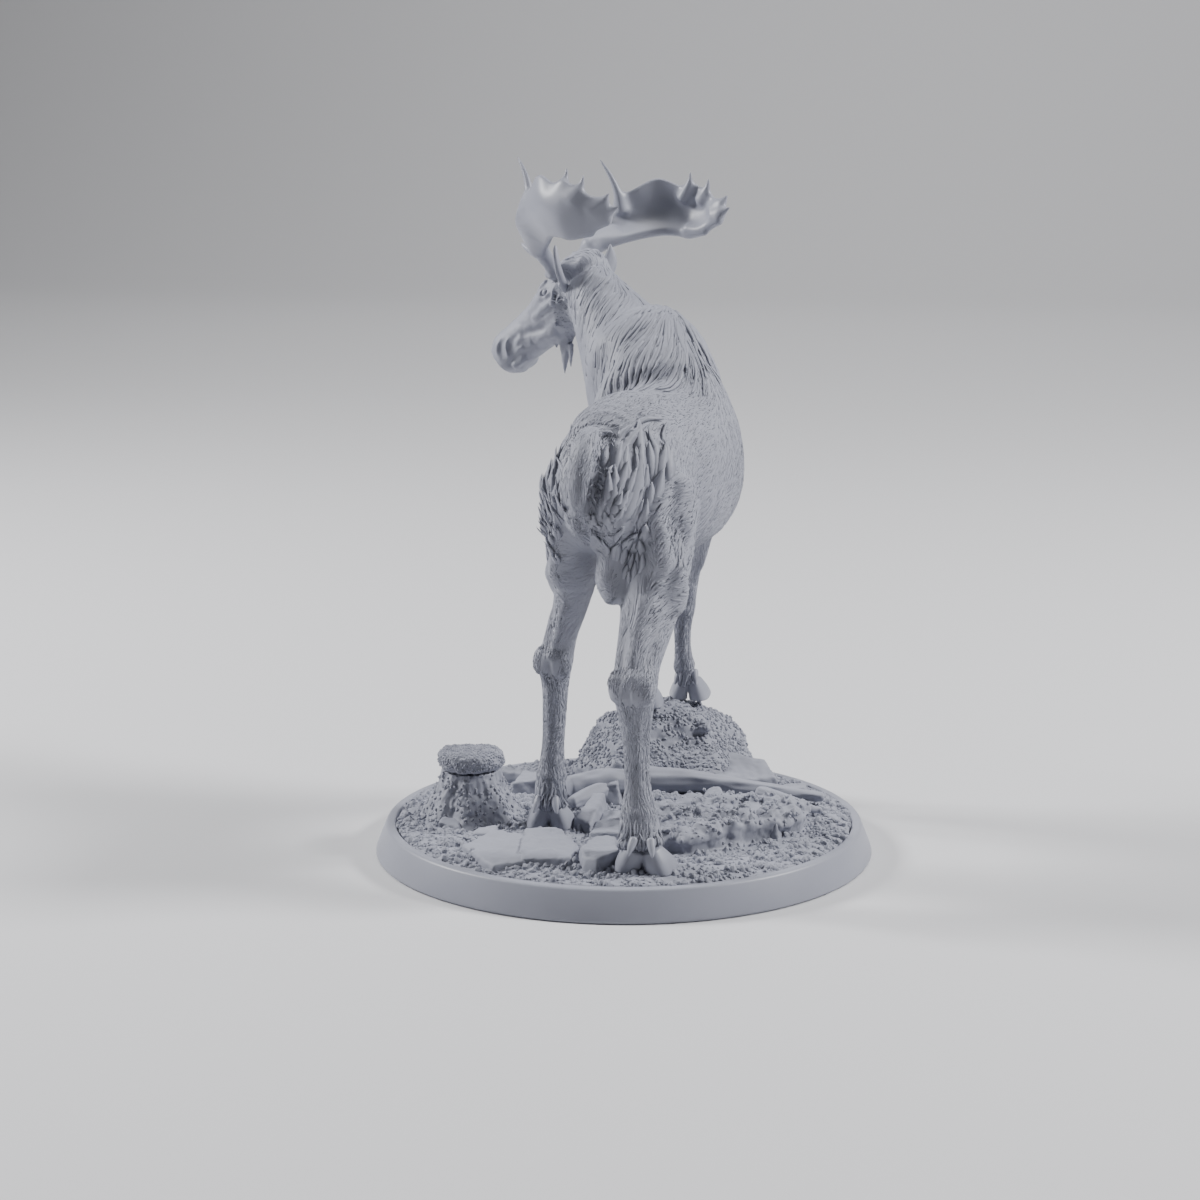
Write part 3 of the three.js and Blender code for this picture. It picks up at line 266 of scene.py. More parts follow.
def soften(clay, rounds=1):
    v = clay["values"]
    for _ in range(rounds):
        for axis in range(3):
            v = 0.5 * v + 0.25 * (np.roll(v, 1, axis) + np.roll(v, -1, axis))
    clay["values"] = v


def clayAt(clay, points):
    # distance at each point, by the eight grid values round it
    shape = np.array(clay["values"].shape)
    p = np.clip((points - clay["low"]) / clay["pitch"], 0, shape - 1.001)
    cell = p.astype(int)
    f = p - cell
    total = np.zeros(len(points))
    for corner in np.ndindex(2, 2, 2):
        c = cell + np.array(corner)
        weight = np.prod(np.where(corner, f, 1 - f), axis=-1)
        total += clay["values"][c[:, 0], c[:, 1], c[:, 2]] * weight
    return total


def clayNormal(clay, points, reach=None):
    e = reach or clay["pitch"]
    steps = np.eye(3) * e
    return unit(np.stack([clayAt(clay, points + s) - clayAt(clay, points - s) for s in steps], -1))


def partAt(clay, points):
    shape = np.array(clay["values"].shape)
    cell = np.clip(np.round((points - clay["low"]) / clay["pitch"]).astype(int), 0, shape - 1)
    return clay["parts"][cell[:, 0], cell[:, 1], cell[:, 2]]


def claySurface(clay):
    # surface nets: one point in each cell that the surface crosses, one quad for each crossed edge
    v = clay["values"]
    inside = v < 0
    count = np.zeros(np.array(v.shape) - 1, np.int8)
    for c in np.ndindex(2, 2, 2):
        count += inside[c[0]:v.shape[0] - 1 + c[0], c[1]:v.shape[1] - 1 + c[1],
                        c[2]:v.shape[2] - 1 + c[2]]
    cells = np.argwhere((count > 0) & (count < 8))
    number = np.full(count.shape, -1, np.int32)
    number[tuple(cells.T)] = np.arange(len(cells))
    corners = [np.array(c) for c in np.ndindex(2, 2, 2)]
    values = [v[tuple((cells + c).T)] for c in corners]
    total = np.zeros((len(cells), 3))
    hits = np.zeros(len(cells))
    for i, a in enumerate(corners):
        for j, b in enumerate(corners):
            if j <= i or np.abs(a - b).sum() != 1:
                continue
            crossed = (values[i] < 0) != (values[j] < 0)
            t = values[i] / np.where(crossed, values[i] - values[j], 1)
            total += np.where(crossed[:, None], a + t[:, None] * (b - a), 0)
            hits += crossed
    points = clay["low"] + (cells + total / hits[:, None]) * clay["pitch"]
    quads = []
    for axis in range(3):
        turned = np.moveaxis(inside, axis, 0)
        edges = np.argwhere(turned[:-1] != turned[1:])
        starts = turned[tuple(edges.T)]
        other = [i for i in range(3) if i != axis]
        spot = np.zeros_like(edges)
        spot[:, axis] = edges[:, 0]
        spot[:, other[0]], spot[:, other[1]] = edges[:, 1], edges[:, 2]
        steps = np.zeros((4, 3), int)
        steps[1, other[0]] = steps[2, other[0]] = steps[2, other[1]] = steps[3, other[1]] = -1
        ids = np.stack([number[tuple(np.clip(spot + s, 0, np.array(count.shape) - 1).T)]
                        for s in steps], -1)
        flip = starts if axis != 1 else ~starts
        ids[~flip] = ids[~flip][:, ::-1]
        quads.append(ids[np.all(ids >= 0, axis=1)])
    return points, np.concatenate(quads)


# the moose's shape: lofts of [x, y, z, half width, rise above, drop below]

def loftOf(stations, side=(1, 0, 0), power=2.2, caps=(1, 1)):
    return {"stations": np.array(stations, float), "side": side, "power": power, "caps": caps}


torso = loftOf([
    [0.1, -16.6, 41.0, 2.0, 2.2, 3.0], [0.5, -14.5, 40.0, 4.2, 5.8, 6.3],
    [1.4, -10.5, 39.0, 5.4, 8.1, 7.4], [2.6, -5.5, 38.5, 6.6, 8.2, 7.8],
    [3.2, 0.0, 38.3, 7.6, 8.2, 8.4], [3.2, 4.5, 38.6, 8.1, 9.8, 8.9],
    [2.2, 9.0, 40.0, 7.2, 12.0, 10.4], [1.0, 12.5, 41.0, 6.0, 13.4, 10.4],
    [0.3, 15.5, 41.5, 4.6, 11.4, 9.0], [0.0, 17.5, 41.0, 2.5, 6.0, 5.0]])
neck = loftOf([
    [1.0, 9.5, 42.5, 5.8, 6.2, 8.5], [-0.9, 13.0, 45.8, 5.6, 8.4, 9.3],
    [-3.0, 15.8, 49.0, 4.9, 6.1, 7.2], [-5.4, 18.0, 52.0, 3.9, 4.9, 6.0],
    [-7.4, 19.8, 54.4, 3.0, 4.1, 4.6]], power=2.1, caps=(2, 1.5))

headOrigin = np.array([-2.3, 17.9, 0.0])
headRight = np.array([0.3907, 0.9205, 0.0])
headBack = np.array([0.9205, -0.3907, 0.0])
nosePitch = math.radians(35)
noseWay = -math.cos(nosePitch) * headBack - math.sin(nosePitch) * up
browWay = np.cross(headRight, noseWay)
poll = headOrigin - 5.8 * headBack + 57.0 * up
headLean = math.radians(-1.3)
leanHeight = 60.0


def skullPoint(distance, s, rise):
    return poll + noseWay * distance + headRight * s + browWay * rise


def headPoint(s, b, z):
    # a point beside the head, leaned with it
    lift = z - leanHeight
    sideways = s * math.cos(headLean) - lift * math.sin(headLean)
    height = leanHeight + s * math.sin(headLean) + lift * math.cos(headLean)
    return headOrigin + headRight * sideways + headBack * b + up * height


def headRows(rows, side=1):
    return [list(headPoint(r[0] * side, r[1], r[2])) + list(r[3:]) for r in rows]


head = loftOf([list(skullPoint(d, 0, lift)) + reach for d, lift, *reach in [
    [-0.6, 0.2, 2.0, 1.9, 2.6], [1.2, 0.1, 2.5, 2.6, 3.2], [4.0, -0.5, 2.8, 2.5, 3.8],
    [6.0, -0.6, 2.8, 2.5, 3.8], [8.0, -0.9, 2.2, 2.35, 3.3], [10.0, -1.2, 1.95, 2.4, 2.8],
    [12.0, -1.4, 1.95, 2.5, 2.5], [14.0, -1.5, 2.15, 2.6, 2.7], [15.2, -1.6, 2.0, 2.1, 2.1]]],
    side=headRight, power=2.3, caps=(1.2, 0.5))

hindRight = loftOf([
    [4.2, -9.0, 41.5, 3.5, 5.2, 5.2], [4.7, -9.3, 38.0, 3.7, 6.2, 6.2],
    [5.2, -9.8, 33.5, 3.5, 5.6, 5.6], [5.2, -11.5, 29.5, 3.1, 4.2, 4.2],
    [4.9, -13.8, 25.8, 2.6, 3.0, 3.0], [4.5, -15.9, 22.6, 2.2, 2.3, 2.3],
    [4.4, -16.8, 20.4, 2.2, 2.1, 2.4], [4.5, -16.9, 18.2, 1.75, 1.7, 1.9],
    [4.6, -16.9, 15.0, 1.35, 1.35, 1.4], [4.75, -17.0, 11.5, 1.3, 1.3, 1.3],
    [4.95, -17.4, 8.4, 1.75, 1.6, 1.8], [5.2, -17.9, 5.8, 2.15, 1.9, 2.0]], caps=(1.6, 0.7))
hindLeft = loftOf([
    [-1.5, -9.3, 41.5, 2.7, 5.0, 5.0], [-2.3, -8.8, 38.0, 3.1, 5.8, 5.8],
    [-3.1, -7.8, 33.5, 3.0, 5.4, 5.2], [-3.4, -6.8, 29.5, 2.35, 4.2, 4.0],
    [-4.2, -6.0, 25.8, 1.85, 3.0, 2.9], [-5.2, -5.6, 22.6, 1.65, 2.2, 2.1],
    [-5.7, -5.7, 20.2, 1.8, 2.0, 2.2], [-5.7, -5.8, 17.8, 1.4, 1.6, 1.7],
    [-5.8, -5.9, 14.5, 1.25, 1.3, 1.3], [-5.95, -5.9, 11.5, 1.2, 1.25, 1.3],
    [-6.1, -6.0, 8.4, 1.5, 1.5, 1.6], [-6.2, -6.2, 5.8, 1.65, 1.6, 1.8]], caps=(1.6, 0.7))
foreRight = loftOf([
    [5.0, 12.4, 34.5, 2.9, 4.2, 4.2], [4.4, 13.2, 31.0, 2.3, 3.2, 3.2],
    [3.9, 14.5, 27.0, 1.65, 2.2, 2.2], [3.4, 15.7, 23.6, 1.35, 1.6, 1.7],
    [3.2, 16.1, 21.6, 1.3, 1.6, 1.5], [3.05, 16.4, 19.8, 1.05, 1.2, 1.2],
    [3.0, 16.8, 17.5, 0.95, 1.05, 1.1], [3.1, 17.4, 15.0, 1.15, 1.2, 1.3],
    [3.3, 17.8, 13.6, 1.15, 1.2, 1.3]], caps=(1.6, 0.6))
foreLeft = loftOf([
    [-1.6, 11.4, 34.5, 2.7, 4.2, 4.2], [-1.5, 11.8, 31.0, 2.2, 3.2, 3.2],
    [-1.3, 12.2, 27.0, 1.6, 2.2, 2.2], [-1.1, 12.4, 23.6, 1.35, 1.6, 1.7],
    [-1.0, 12.4, 21.6, 1.3, 1.6, 1.5], [-0.9, 12.4, 19.8, 1.05, 1.2, 1.2],
    [-0.8, 12.5, 17.5, 0.95, 1.05, 1.1], [-0.7, 12.7, 15.0, 1.15, 1.2, 1.3],
    [-0.7, 12.9, 13.6, 1.15, 1.2, 1.3]], caps=(1.6, 0.6))
tail = loftOf([
    [0.1, -14.4, 43.6, 1.3, 0.9, 0.9], [-0.1, -16.5, 42.3, 1.5, 1.0, 1.0],
    [-0.3, -17.6, 40.2, 1.3, 0.9, 0.9], [-0.5, -17.9, 38.0, 0.9, 0.7, 0.7],
    [-0.65, -17.9, 36.6, 0.5, 0.4, 0.4]], caps=(0.6, 0.4))
bell = loftOf(headRows([
    [0, -8.9, 50.6, 0.8, 1.3, 1.3], [0, -9.1, 49.4, 0.65, 1.0, 1.0],
    [0, -9.1, 48.2, 0.5, 0.65, 0.65], [0, -9.1, 47.2, 0.3, 0.35, 0.35]]),
    side=headRight, caps=(0.6, 0.3))
beardTufts = [loftOf(headRows(rows), side=headRight, caps=(0.2, 0.15)) for rows in [
    [[0.1, -9.0, 49.4, 0.6, 0.8, 0.8], [0.1, -9.15, 47.4, 0.45, 0.5, 0.5],
     [0.1, -9.2, 45.5, 0.18, 0.2, 0.2]],
    [[-0.3, -8.2, 49.0, 0.4, 0.5, 0.5], [-0.3, -8.15, 47.2, 0.28, 0.3, 0.3],
     [-0.3, -8.1, 45.8, 0.13, 0.15, 0.15]],
    [[0, -10.0, 50.4, 0.5, 0.6, 0.6], [0, -10.2, 49.0, 0.32, 0.35, 0.35],
     [0, -10.3, 47.8, 0.14, 0.16, 0.16]]]]
# flesh of the right thigh towards the other
innerThigh = loftOf([
    [1.9, -11.4, 35.5, 2.0, 3.4, 3.4], [1.9, -12.0, 32.0, 2.0, 3.0, 3.0],
    [1.6, -12.6, 29.8, 1.9, 2.6, 2.6], [2.1, -13.0, 28.0, 1.4, 2.0, 2.0]], caps=(1, 0.5))
lofts = [torso, neck, head, hindRight, hindLeft, foreRight, foreLeft, tail, bell]
legs = {
    "hind_right": {"loft": hindRight, "hoof": [5.7, -18.6, 3.35], "heading": -4, "spread": 16,
                   "claw": 1.35, "hock": 6},
    "hind_left": {"loft": hindLeft, "hoof": [-6.2, -6.4, 3.35], "heading": 6, "spread": 11,
                  "claw": 1.1, "hock": 6},
    "front_right": {"loft": foreRight, "hoof": [3.4, 18.4, 11.2], "heading": 2, "spread": 11,
                    "claw": 1.0, "hock": 4},
    "front_left": {"loft": foreLeft, "hoof": [-0.7, 13.4, 11.3], "heading": 8, "spread": 9,
                   "claw": 1.0, "hock": 4},
}


# the skin: one clay for body and legs, a finer one for the head

skinLook = {"bodyPitch": 0.21, "headPitch": 0.095, "coatDepth": 0.13, "offSkin": 0.12,
            "triangles": 194000, "soft": 1.1, "wrinkles": [(0.9, 0.06, 21), (0.38, 0.045, 22)]}
neckCut = {"point": np.array([-4.9, 17.5, 51.3]), "way": unit(np.array([-0.62, 0.52, 0.59])),
           "overlap": 0.3}


def onSkin(loft, spots, lift=0.0):
    # knots of a stroke: (place, angle in degrees) pairs on a loft
    return np.concatenate([surfacePoint(loft, p, math.radians(a), lift) for p, a in spots])


def bothSides(spots):
    return [spots, [(p, 180 - a) for p, a in spots]]


rumpStrokes = [
    # the tail lobe, the clefts beside it and between the thighs
    ([(-0.5, -14.6, 44.6), (-0.3, -17.6, 42.2), (-0.5, -18.4, 39.6), (-0.7, -18.2, 36.9)], 1.1, 0.75),
    ([(1.6, -14.4, 44.2), (1.5, -16.8, 42.6), (1.25, -17.6, 40.8), (0.8, -17.9, 39.0),
      (0.3, -17.7, 36.6)], 0.62, -1.7),
    ([(-2.3, -12.2, 44.4), (-2.4, -14.6, 42.2), (-2.0, -16.2, 39.8), (-1.5, -17.2, 37.2)], 0.55, -1.0),
    ([(0.2, -17.6, 36.4), (0.0, -16.4, 34.4), (-0.2, -14.6, 32.4)], 0.8, -1.7),
    # the thigh that bulges beside them, and the loin
    ([(3.4, -14.6, 43.0), (2.9, -16.4, 40.4), (2.6, -16.9, 37.6), (2.6, -16.3, 34.4)], 1.5, 0.5),
    ([(-3.7, -13.8, 39.0), (-4.1, -13.3, 36.0), (-4.2, -12.4, 33.0)], 1.2, 0.4),
    ([(4.0, -10.0, 46.4), (4.7, -6.1, 46.6), (5.8, -1.8, 46.2)], 0.9, 0.24),
    ([(6.0, -12.4, 42.6), (6.9, -9.6, 42.6), (8.0, -6.4, 42.0)], 1.3, -0.32)]


def addBodyStrokes(clay):
    # shoulder blades, ribs, hips and the creases between them
    strokes = [
        ([(6.3, 66), (6.8, 40), (7.1, 12), (7.2, -15)], 1.5, 0.34),
        ([(5.7, 62), (6.0, 30), (6.2, 0), (6.4, -28)], 0.8, -0.42),
        ([(1.4, 52), (1.8, 42), (2.3, 36)], 1.2, 0.34),
        ([(2.7, 48), (3.0, 22), (3.0, -8), (3.2, -40)], 1.1, -0.42),
        ([(2.2, 60), (3.4, 56), (4.6, 58)], 0.9, -0.22),
        ([(6.6, -5), (7.3, -12), (7.9, -6)], 1.0, 0.26)]
    for spots, width, depth in strokes:
        for side in bothSides(spots):
            addStroke(clay, onSkin(torso, side), width, depth)
    for i in range(6):
        rib = [(3.3 + 0.42 * i, 34), (3.45 + 0.42 * i, 4), (3.5 + 0.42 * i, -30)]
        for side in bothSides(rib):
            addStroke(clay, onSkin(torso, side), 0.4, -0.16)
    addStroke(clay, onSkin(torso, [(0.9, 90), (2.5, 90), (4.0, 90), (5.6, 90)]), 0.7, 0.2)
    for knots, width, depth in rumpStrokes:
        addStroke(clay, knots, width, 1.25 * depth)


def addLegStrokes(clay, leg, hind, outer):
    # outer is 1 where the leg's outer side is towards +X
    loft = leg["loft"]
    side = (lambda a: a) if outer > 0 else (lambda a: 180 - a)
    if hind:
        strokes = [
            ([(0.6, side(-40)), (1.6, side(-48)), (2.6, side(-45)), (3.4, side(-50))], 0.6, -0.5),
            ([(0.4, side(20)), (1.4, side(8)), (2.3, side(4)), (3.0, side(10))], 0.8, -0.34),
            ([(1.3, side(-68)), (2.3, side(-70)), (3.2, side(-76))], 1.1, 0.36),
            ([(0.8, side(-12)), (1.8, side(-20)), (2.6, side(-18))], 1.2, 0.3),
            ([(1.9, side(62)), (2.4, side(70)), (2.8, side(78))], 1.1, 0.4),
            ([(3.4, side(-52)), (4.2, side(-50)), (5.2, side(-48))], 0.5, -0.42),
            ([(3.6, -90), (4.5, -90), (5.4, -90)], 0.55, 0.3),
            ([(1.4, side(-68)), (1.9, side(-40)), (2.3, side(-16)), (2.6, side(10))], 0.8, -0.62),
            ([(2.4, side(-86)), (2.8, side(-47)), (3.2, side(-7)), (3.7, side(7))], 1.0, 0.5),
            ([(3.4, side(-62)), (3.8, side(-26)), (4.4, side(-24))], 0.8, -0.5),
            ([(0.5, side(-60)), (0.9, side(-30)), (1.3, side(0))], 1.2, 0.42),
            ([(5.4, -90), (5.9, -90), (6.3, -92), (6.8, -95)], 0.7, 0.34),
            ([(5.5, -140), (6.05, -140), (6.5, -132)], 0.72, 0.55),
            ([(5.5, -68), (6.05, -44), (6.6, -54)], 0.7, 0.5),
            ([(5.85, -93), (6.3, -95), (7.0, -98)], 0.26, -0.62),
            ([(5.2, -176), (6.0, -178), (6.8, 180)], 0.5, -0.26),
            ([(4.2, -120), (5.0, -118), (5.6, -112)], 0.4, -0.32),
            ([(6.8, side(-42)), (8.0, side(-40)), (9.4, side(-42))], 0.34, -0.3),
            ([(6.9, side(40)), (8.0, side(38)), (9.4, side(40))], 0.34, -0.22)]
        pastern = (9.9, 10.6)
    else:
        strokes = [
            ([(0.6, side(0)), (1.4, side(-10)), (2.2, side(-20))], 0.7, 0.3),
            ([(0.8, side(-45)), (1.6, side(-50)), (2.6, side(-50))], 0.45, -0.32),
            ([(0.8, side(45)), (1.6, side(48)), (2.6, side(45))], 0.45, -0.26),
            ([(3.1, 90), (3.7, 90), (4.1, 90)], 0.6, 0.24),
            ([(3.5, -90), (4.0, -90)], 0.5, 0.24),
            ([(4.6, side(-42)), (5.5, side(-40)), (6.4, side(-42))], 0.28, -0.24)]
        pastern = (6.9, 7.5)
    for spots, width, depth in strokes:
        addStroke(clay, onSkin(loft, spots), width, (1.7 if hind else 1.4) * depth)
    for place in pastern:
        ring = [(place, a) for a in range(-180, 181, 45)]
        addStroke(clay, onSkin(loft, ring), 0.5, 0.12 if place == pastern[0] else -0.2, taper=0)


def bodyClay(pitch):
    clay = newClay([-11.4, -20.4, 3.6], [12.6, 22.6, 58.4], pitch)
    soft = skinLook["soft"]
    for part, loft in enumerate([torso, neck, head, hindRight, hindLeft, foreRight, foreLeft, tail]):
        blendIn(clay, loftValues(clay, loft), part, 0.7 if loft is tail else soft)
    blendIn(clay, loftValues(clay, innerThigh), 3, 0.8)
    addBodyStrokes(clay)
    for name, leg in legs.items():
        addLegStrokes(clay, leg, name.startswith("hind"), 1 if name.endswith("right") else -1)
    return clay


faceStrokes = [
    # knots of (distance, sideways, rise) on the left cheek, width, height
    # brow, lids and the folds round the eye
    ([(2.6, -2.2, 1.7), (4.0, -2.2, 1.9), (5.0, -2.1, 1.6), (6.2, -2.0, 1.1)], 0.42, 0.5),
    ([(4.0, -1.2, 2.1), (5.2, -1.1, 2.1), (6.3, -1.0, 1.9)], 0.24, -0.24),
    ([(4.4, -1.7, 1.9), (5.4, -1.6, 1.8), (6.6, -1.5, 1.5)], 0.2, -0.26),
    ([(3.5, -2.6, 1.3), (4.4, -2.6, 1.35), (5.4, -2.4, 1.15)], 0.17, -0.25),
    ([(3.9, -2.8, 0.55), (4.6, -2.8, 0.95), (5.5, -2.5, 0.85), (6.0, -2.3, 0.4)], 0.18, 0.2),
    ([(4.0, -2.9, 0.2), (4.8, -2.85, 0.05), (5.6, -2.5, 0.15), (6.2, -2.3, 0.5)], 0.2, 0.18),
    ([(4.3, -2.9, -0.35), (5.2, -2.8, -0.4), (6.2, -2.5, -0.15)], 0.2, -0.24),
    ([(4.9, -2.8, 0.2), (5.9, -2.6, -0.05), (7.2, -2.5, -0.25), (8.8, -2.1, -0.1)], 0.3, -0.2),
    ([(4.0, -3.0, -0.9), (5.4, -2.9, -0.95), (7.0, -2.6, -0.8), (8.6, -2.2, -0.5)], 0.5, 0.26),
    ([(4.4, -3.0, -1.5), (5.6, -2.8, -1.55), (7.0, -2.4, -1.3)], 0.24, -0.26),
    # the cheek, the groove over it and the jaw
    ([(5.2, -3.1, -2.1), (6.6, -2.6, -2.3), (8.1, -1.9, -2.15), (9.6, -1.8, -1.6),
      (11.0, -1.8, -1.1)], 0.36, -0.4),
    ([(9.9, -2.2, -2.8), (8.9, -2.2, -3.1), (7.6, -2.0, -3.6), (6.6, -1.9, -3.9)], 0.8, 0.4),
    ([(10.4, -1.4, -3.8), (9.4, -1.1, -4.1), (7.6, -1.0, -4.6)], 0.35, -0.4),
    ([(8.4, -2.2, -2.6), (8.0, -2.1, -3.4)], 0.18, -0.16),
    ([(9.2, -2.3, -2.4), (8.9, -2.2, -3.3)], 0.16, -0.14),
    # nostril and the folds beside it
    ([(12.8, -2.15, -0.45), (13.5, -2.1, -0.75), (13.9, -2.1, -1.4), (13.95, -2.2, -2.1)], 0.15, -0.85),
    ([(12.1, -2.0, -0.4), (12.8, -2.2, -1.0), (13.25, -2.3, -1.85), (13.6, -2.2, -2.6)], 0.26, 0.3),
    ([(13.1, -1.9, 0.1), (14.0, -2.0, -0.5), (14.45, -2.1, -1.2), (14.5, -2.1, -2.1)], 0.24, 0.24),
    ([(10.4, -1.95, -0.9), (11.7, -1.9, -1.05), (12.4, -2.1, -1.6), (12.8, -2.2, -2.2)], 0.18, -0.24),
    ([(10.6, -2.0, -1.7), (11.4, -2.05, -1.6), (12.1, -2.1, -2.0)], 0.34, 0.18),
    # lips and chin
    ([(12.7, -2.2, -2.4), (11.9, -2.1, -2.4), (11.1, -1.95, -2.4)], 0.28, 0.26),
    ([(14.3, -1.7, -3.05), (13.3, -1.85, -2.85), (12.4, -1.85, -2.95), (11.6, -1.7, -3.05),
      (10.9, -1.5, -3.3)], 0.16, -0.8),
    ([(13.9, -1.5, -3.4), (12.8, -1.6, -3.75), (11.9, -1.3, -3.95)], 0.6, 0.36),
    ([(10.9, -1.2, -3.7), (11.2, -1.2, -4.3)], 0.3, -0.4),
    ([(8.6, -1.9, 0.9), (10.4, -1.8, 0.6), (12.0, -1.8, 0.5)], 0.5, -0.2),
    # hair that hangs in ropes behind the cheek
    ([(3.4, -2.8, 0.6), (4.4, -3.0, -0.9), (5.6, -2.8, -2.6), (6.6, -2.2, -3.6)], 0.2, 0.42),
    ([(3.0, -2.8, -0.3), (4.3, -3.1, -1.9), (5.8, -2.5, -3.2), (7.2, -1.6, -4.2)], 0.2, 0.4),
    ([(2.6, -2.9, -0.3), (3.4, -2.9, -1.3), (4.4, -2.9, -2.4), (5.6, -2.2, -3.6)], 0.22, -0.5),
    ([(2.0, -2.9, -0.5), (3.3, -3.0, -1.1), (4.4, -3.0, -1.6)], 0.26, 0.4),
    ([(1.0, -3.2, -1.4), (2.5, -3.3, -1.8), (4.1, -2.9, -1.5)], 0.3, 0.4),
    # the dome behind the antlers
    ([(0.8, -1.4, 2.3), (1.9, -1.9, 1.8), (2.6, -2.4, 1.2)], 0.5, 0.26),
    ([(-0.4, -1.2, 2.2), (0.5, -2.2, 1.4), (1.4, -2.8, 0.3)], 0.35, -0.2),
    ([(-1.4, -1.4, 1.8), (-0.4, -2.5, 0.8), (0.7, -3.0, -0.4)], 0.35, 0.18)]


def roughen(clay, size, height, seed):
    # small folds all over the skin
    near = np.abs(clay["values"]) < 0.6
    spots = clay["low"] + np.argwhere(near) * clay["pitch"]
    clay["values"][near] += (height * latticeNoise(spots, size, seed)).astype(np.float32)


def headClay(pitch):
    clay = newClay([-24.4, 6.4, 43.2], [4.6, 27.6, 62.6], pitch)
    for part, loft in ((1, neck), (2, head), (8, bell)):
        blendIn(clay, loftValues(clay, loft), part, 1.0 if loft is not bell else 0.6)
    for loft in beardTufts:
        blendIn(clay, loftValues(clay, loft), 8, 0.25)
    for spots, width, depth in faceStrokes:
        for side in (1, -1):
            addStroke(clay, [skullPoint(d, s * side, r) for d, s, r in spots], width, depth)
    for side in (1, -1):
        socket = [skullPoint(eyeShape["along"], eyeShape["side"] * side * 1.12, eyeShape["rise"])] * 2
        addStroke(clay, [p + noseWay * shift for p, shift in zip(socket, (-0.4, 0.5))], 0.24, -0.6)
    addStroke(clay, [skullPoint(7.5, 0, 1.5), skullPoint(10.5, 0, 1.3), skullPoint(13, 0, 1.2)],
              0.7, 0.22)
    for size, height, seed in skinLook["wrinkles"]:
        roughen(clay, size, height, seed)
    return clay


eyeShape = {"along": 5.1, "side": 2.2, "rise": 0.48, "radius": 0.4}


def clayMesh(clay, cut=None, keep=1):
    # the skin of a clay, cut by a plane where asked and closed there
    depth = skinLook["coatDepth"]
    shaped = dict(clay, values=clay["values"] + depth)
    soften(shaped)
    if cut is not None:
        axes = [clay["low"][i] + clay["pitch"] * np.arange(clay["values"].shape[i]) for i in range(3)]
        offset = [axes[i] - cut["point"][i] for i in range(3)]
        plane = (offset[0][:, None, None] * cut["way"][0] + offset[1][None, :, None] * cut["way"][1]
                 + offset[2][None, None, :] * cut["way"][2])
        shaped["values"] = np.maximum(shaped["values"], -keep * plane - cut["overlap"])
    for face in (0, -1):
        shaped["values"][face], shaped["values"][:, face], shaped["values"][:, :, face] = 1, 1, 1
    return claySurface(shaped)


def joinMeshes(parts):
    points, quads, start = [], [], 0
    for p, q in parts:
        points.append(p)
        quads.append(q + start)
        start += len(p)
    return np.concatenate(points), np.concatenate(quads)


def makeSkin(body, face, material):
    points, quads = joinMeshes([body, face])
    flesh = ["torso", "neck", "head", "tail", "bell"]
    flesh += [f"leg_{name}_{half}" for name in legs for half in ("upper", "cannon")]
    meshPiece("skin", points, [quads], material, flesh, most=skinLook["triangles"])


# eyes

def ballMesh(centre, radii, rings=24, sides=36):
    turns = np.linspace(0, 2 * np.pi, sides, endpoint=False)
    levels = np.linspace(0, np.pi, rings + 1)[1:-1]
    grid = np.stack([np.outer(np.sin(levels), np.cos(turns)), np.outer(np.sin(levels), np.sin(turns)),
                     np.outer(np.cos(levels), np.ones(sides))], -1).reshape(-1, 3)
    points = np.concatenate([grid, [[0, 0, 1], [0, 0, -1]]]) * radii + centre
    i = np.arange(sides)
    j = (i + 1) % sides
    quads = [np.stack([r * sides + i, (r + 1) * sides + i, (r + 1) * sides + j, r * sides + j], -1)
             for r in range(rings - 2)]
    top, low = len(grid), len(grid) + 1
    last = (rings - 2) * sides
    caps = np.concatenate([np.stack([i, j, np.full(sides, top)], -1),
                           np.stack([last + j, last + i, np.full(sides, low)], -1)])
    return points, [np.concatenate(quads), caps]


def makeEyes(material):
    for label, side in (("right", 1), ("left", -1)):
        centre = skullPoint(eyeShape["along"], eyeShape["side"] * side, eyeShape["rise"])
        points, faces = ballMesh(centre, eyeShape["radius"])
        meshPiece(f"eyeball_{label}", points, faces, material, [f"eye_{label}"])


# ears

earLook = {"pitch": 0.1, "turn": 35, "cupDepth": 0.55, "cupShare": 0.7, "coatDepth": 0.06}
earRows = [[2.6, -7.2, 54.9, 0.5, 0.5, 0.5], [3.8, -7.0, 55.8, 0.68, 0.58, 0.58],
           [4.75, -6.85, 57.2, 0.92, 0.52, 0.52], [5.05, -6.85, 58.4, 0.68, 0.4, 0.4],
           [5.03, -6.9, 59.5, 0.2, 0.2, 0.2]]


def clayRound(lofts, pitch, margin=0.6):
    low = np.min([(m["stations"][:, :3] - m["stations"][:, 3:].max(1, keepdims=True)).min(0)
                  for m in lofts], axis=0)
    high = np.max([(m["stations"][:, :3] + m["stations"][:, 3:].max(1, keepdims=True)).max(0)
                   for m in lofts], axis=0)
    return newClay(low - margin, high + margin, pitch)


def earLofts(side):
    turn = math.radians(earLook["turn"])
    openWay = headRight * side * math.sin(turn) - headBack * math.cos(turn)
    across = np.cross(up, openWay)
    shell = loftOf(headRows(earRows, side), side=across, caps=(0.4, 0.3))
    shift = openWay * earLook["cupDepth"]
    cup = [list(np.array(r[:3]) + shift) + [r[3] * earLook["cupShare"], r[4] * 0.8, r[5] * 0.9]
           for r in headRows(earRows, side)[1:]]
    return shell, loftOf(cup, side=across, caps=(0.3, 0.1))


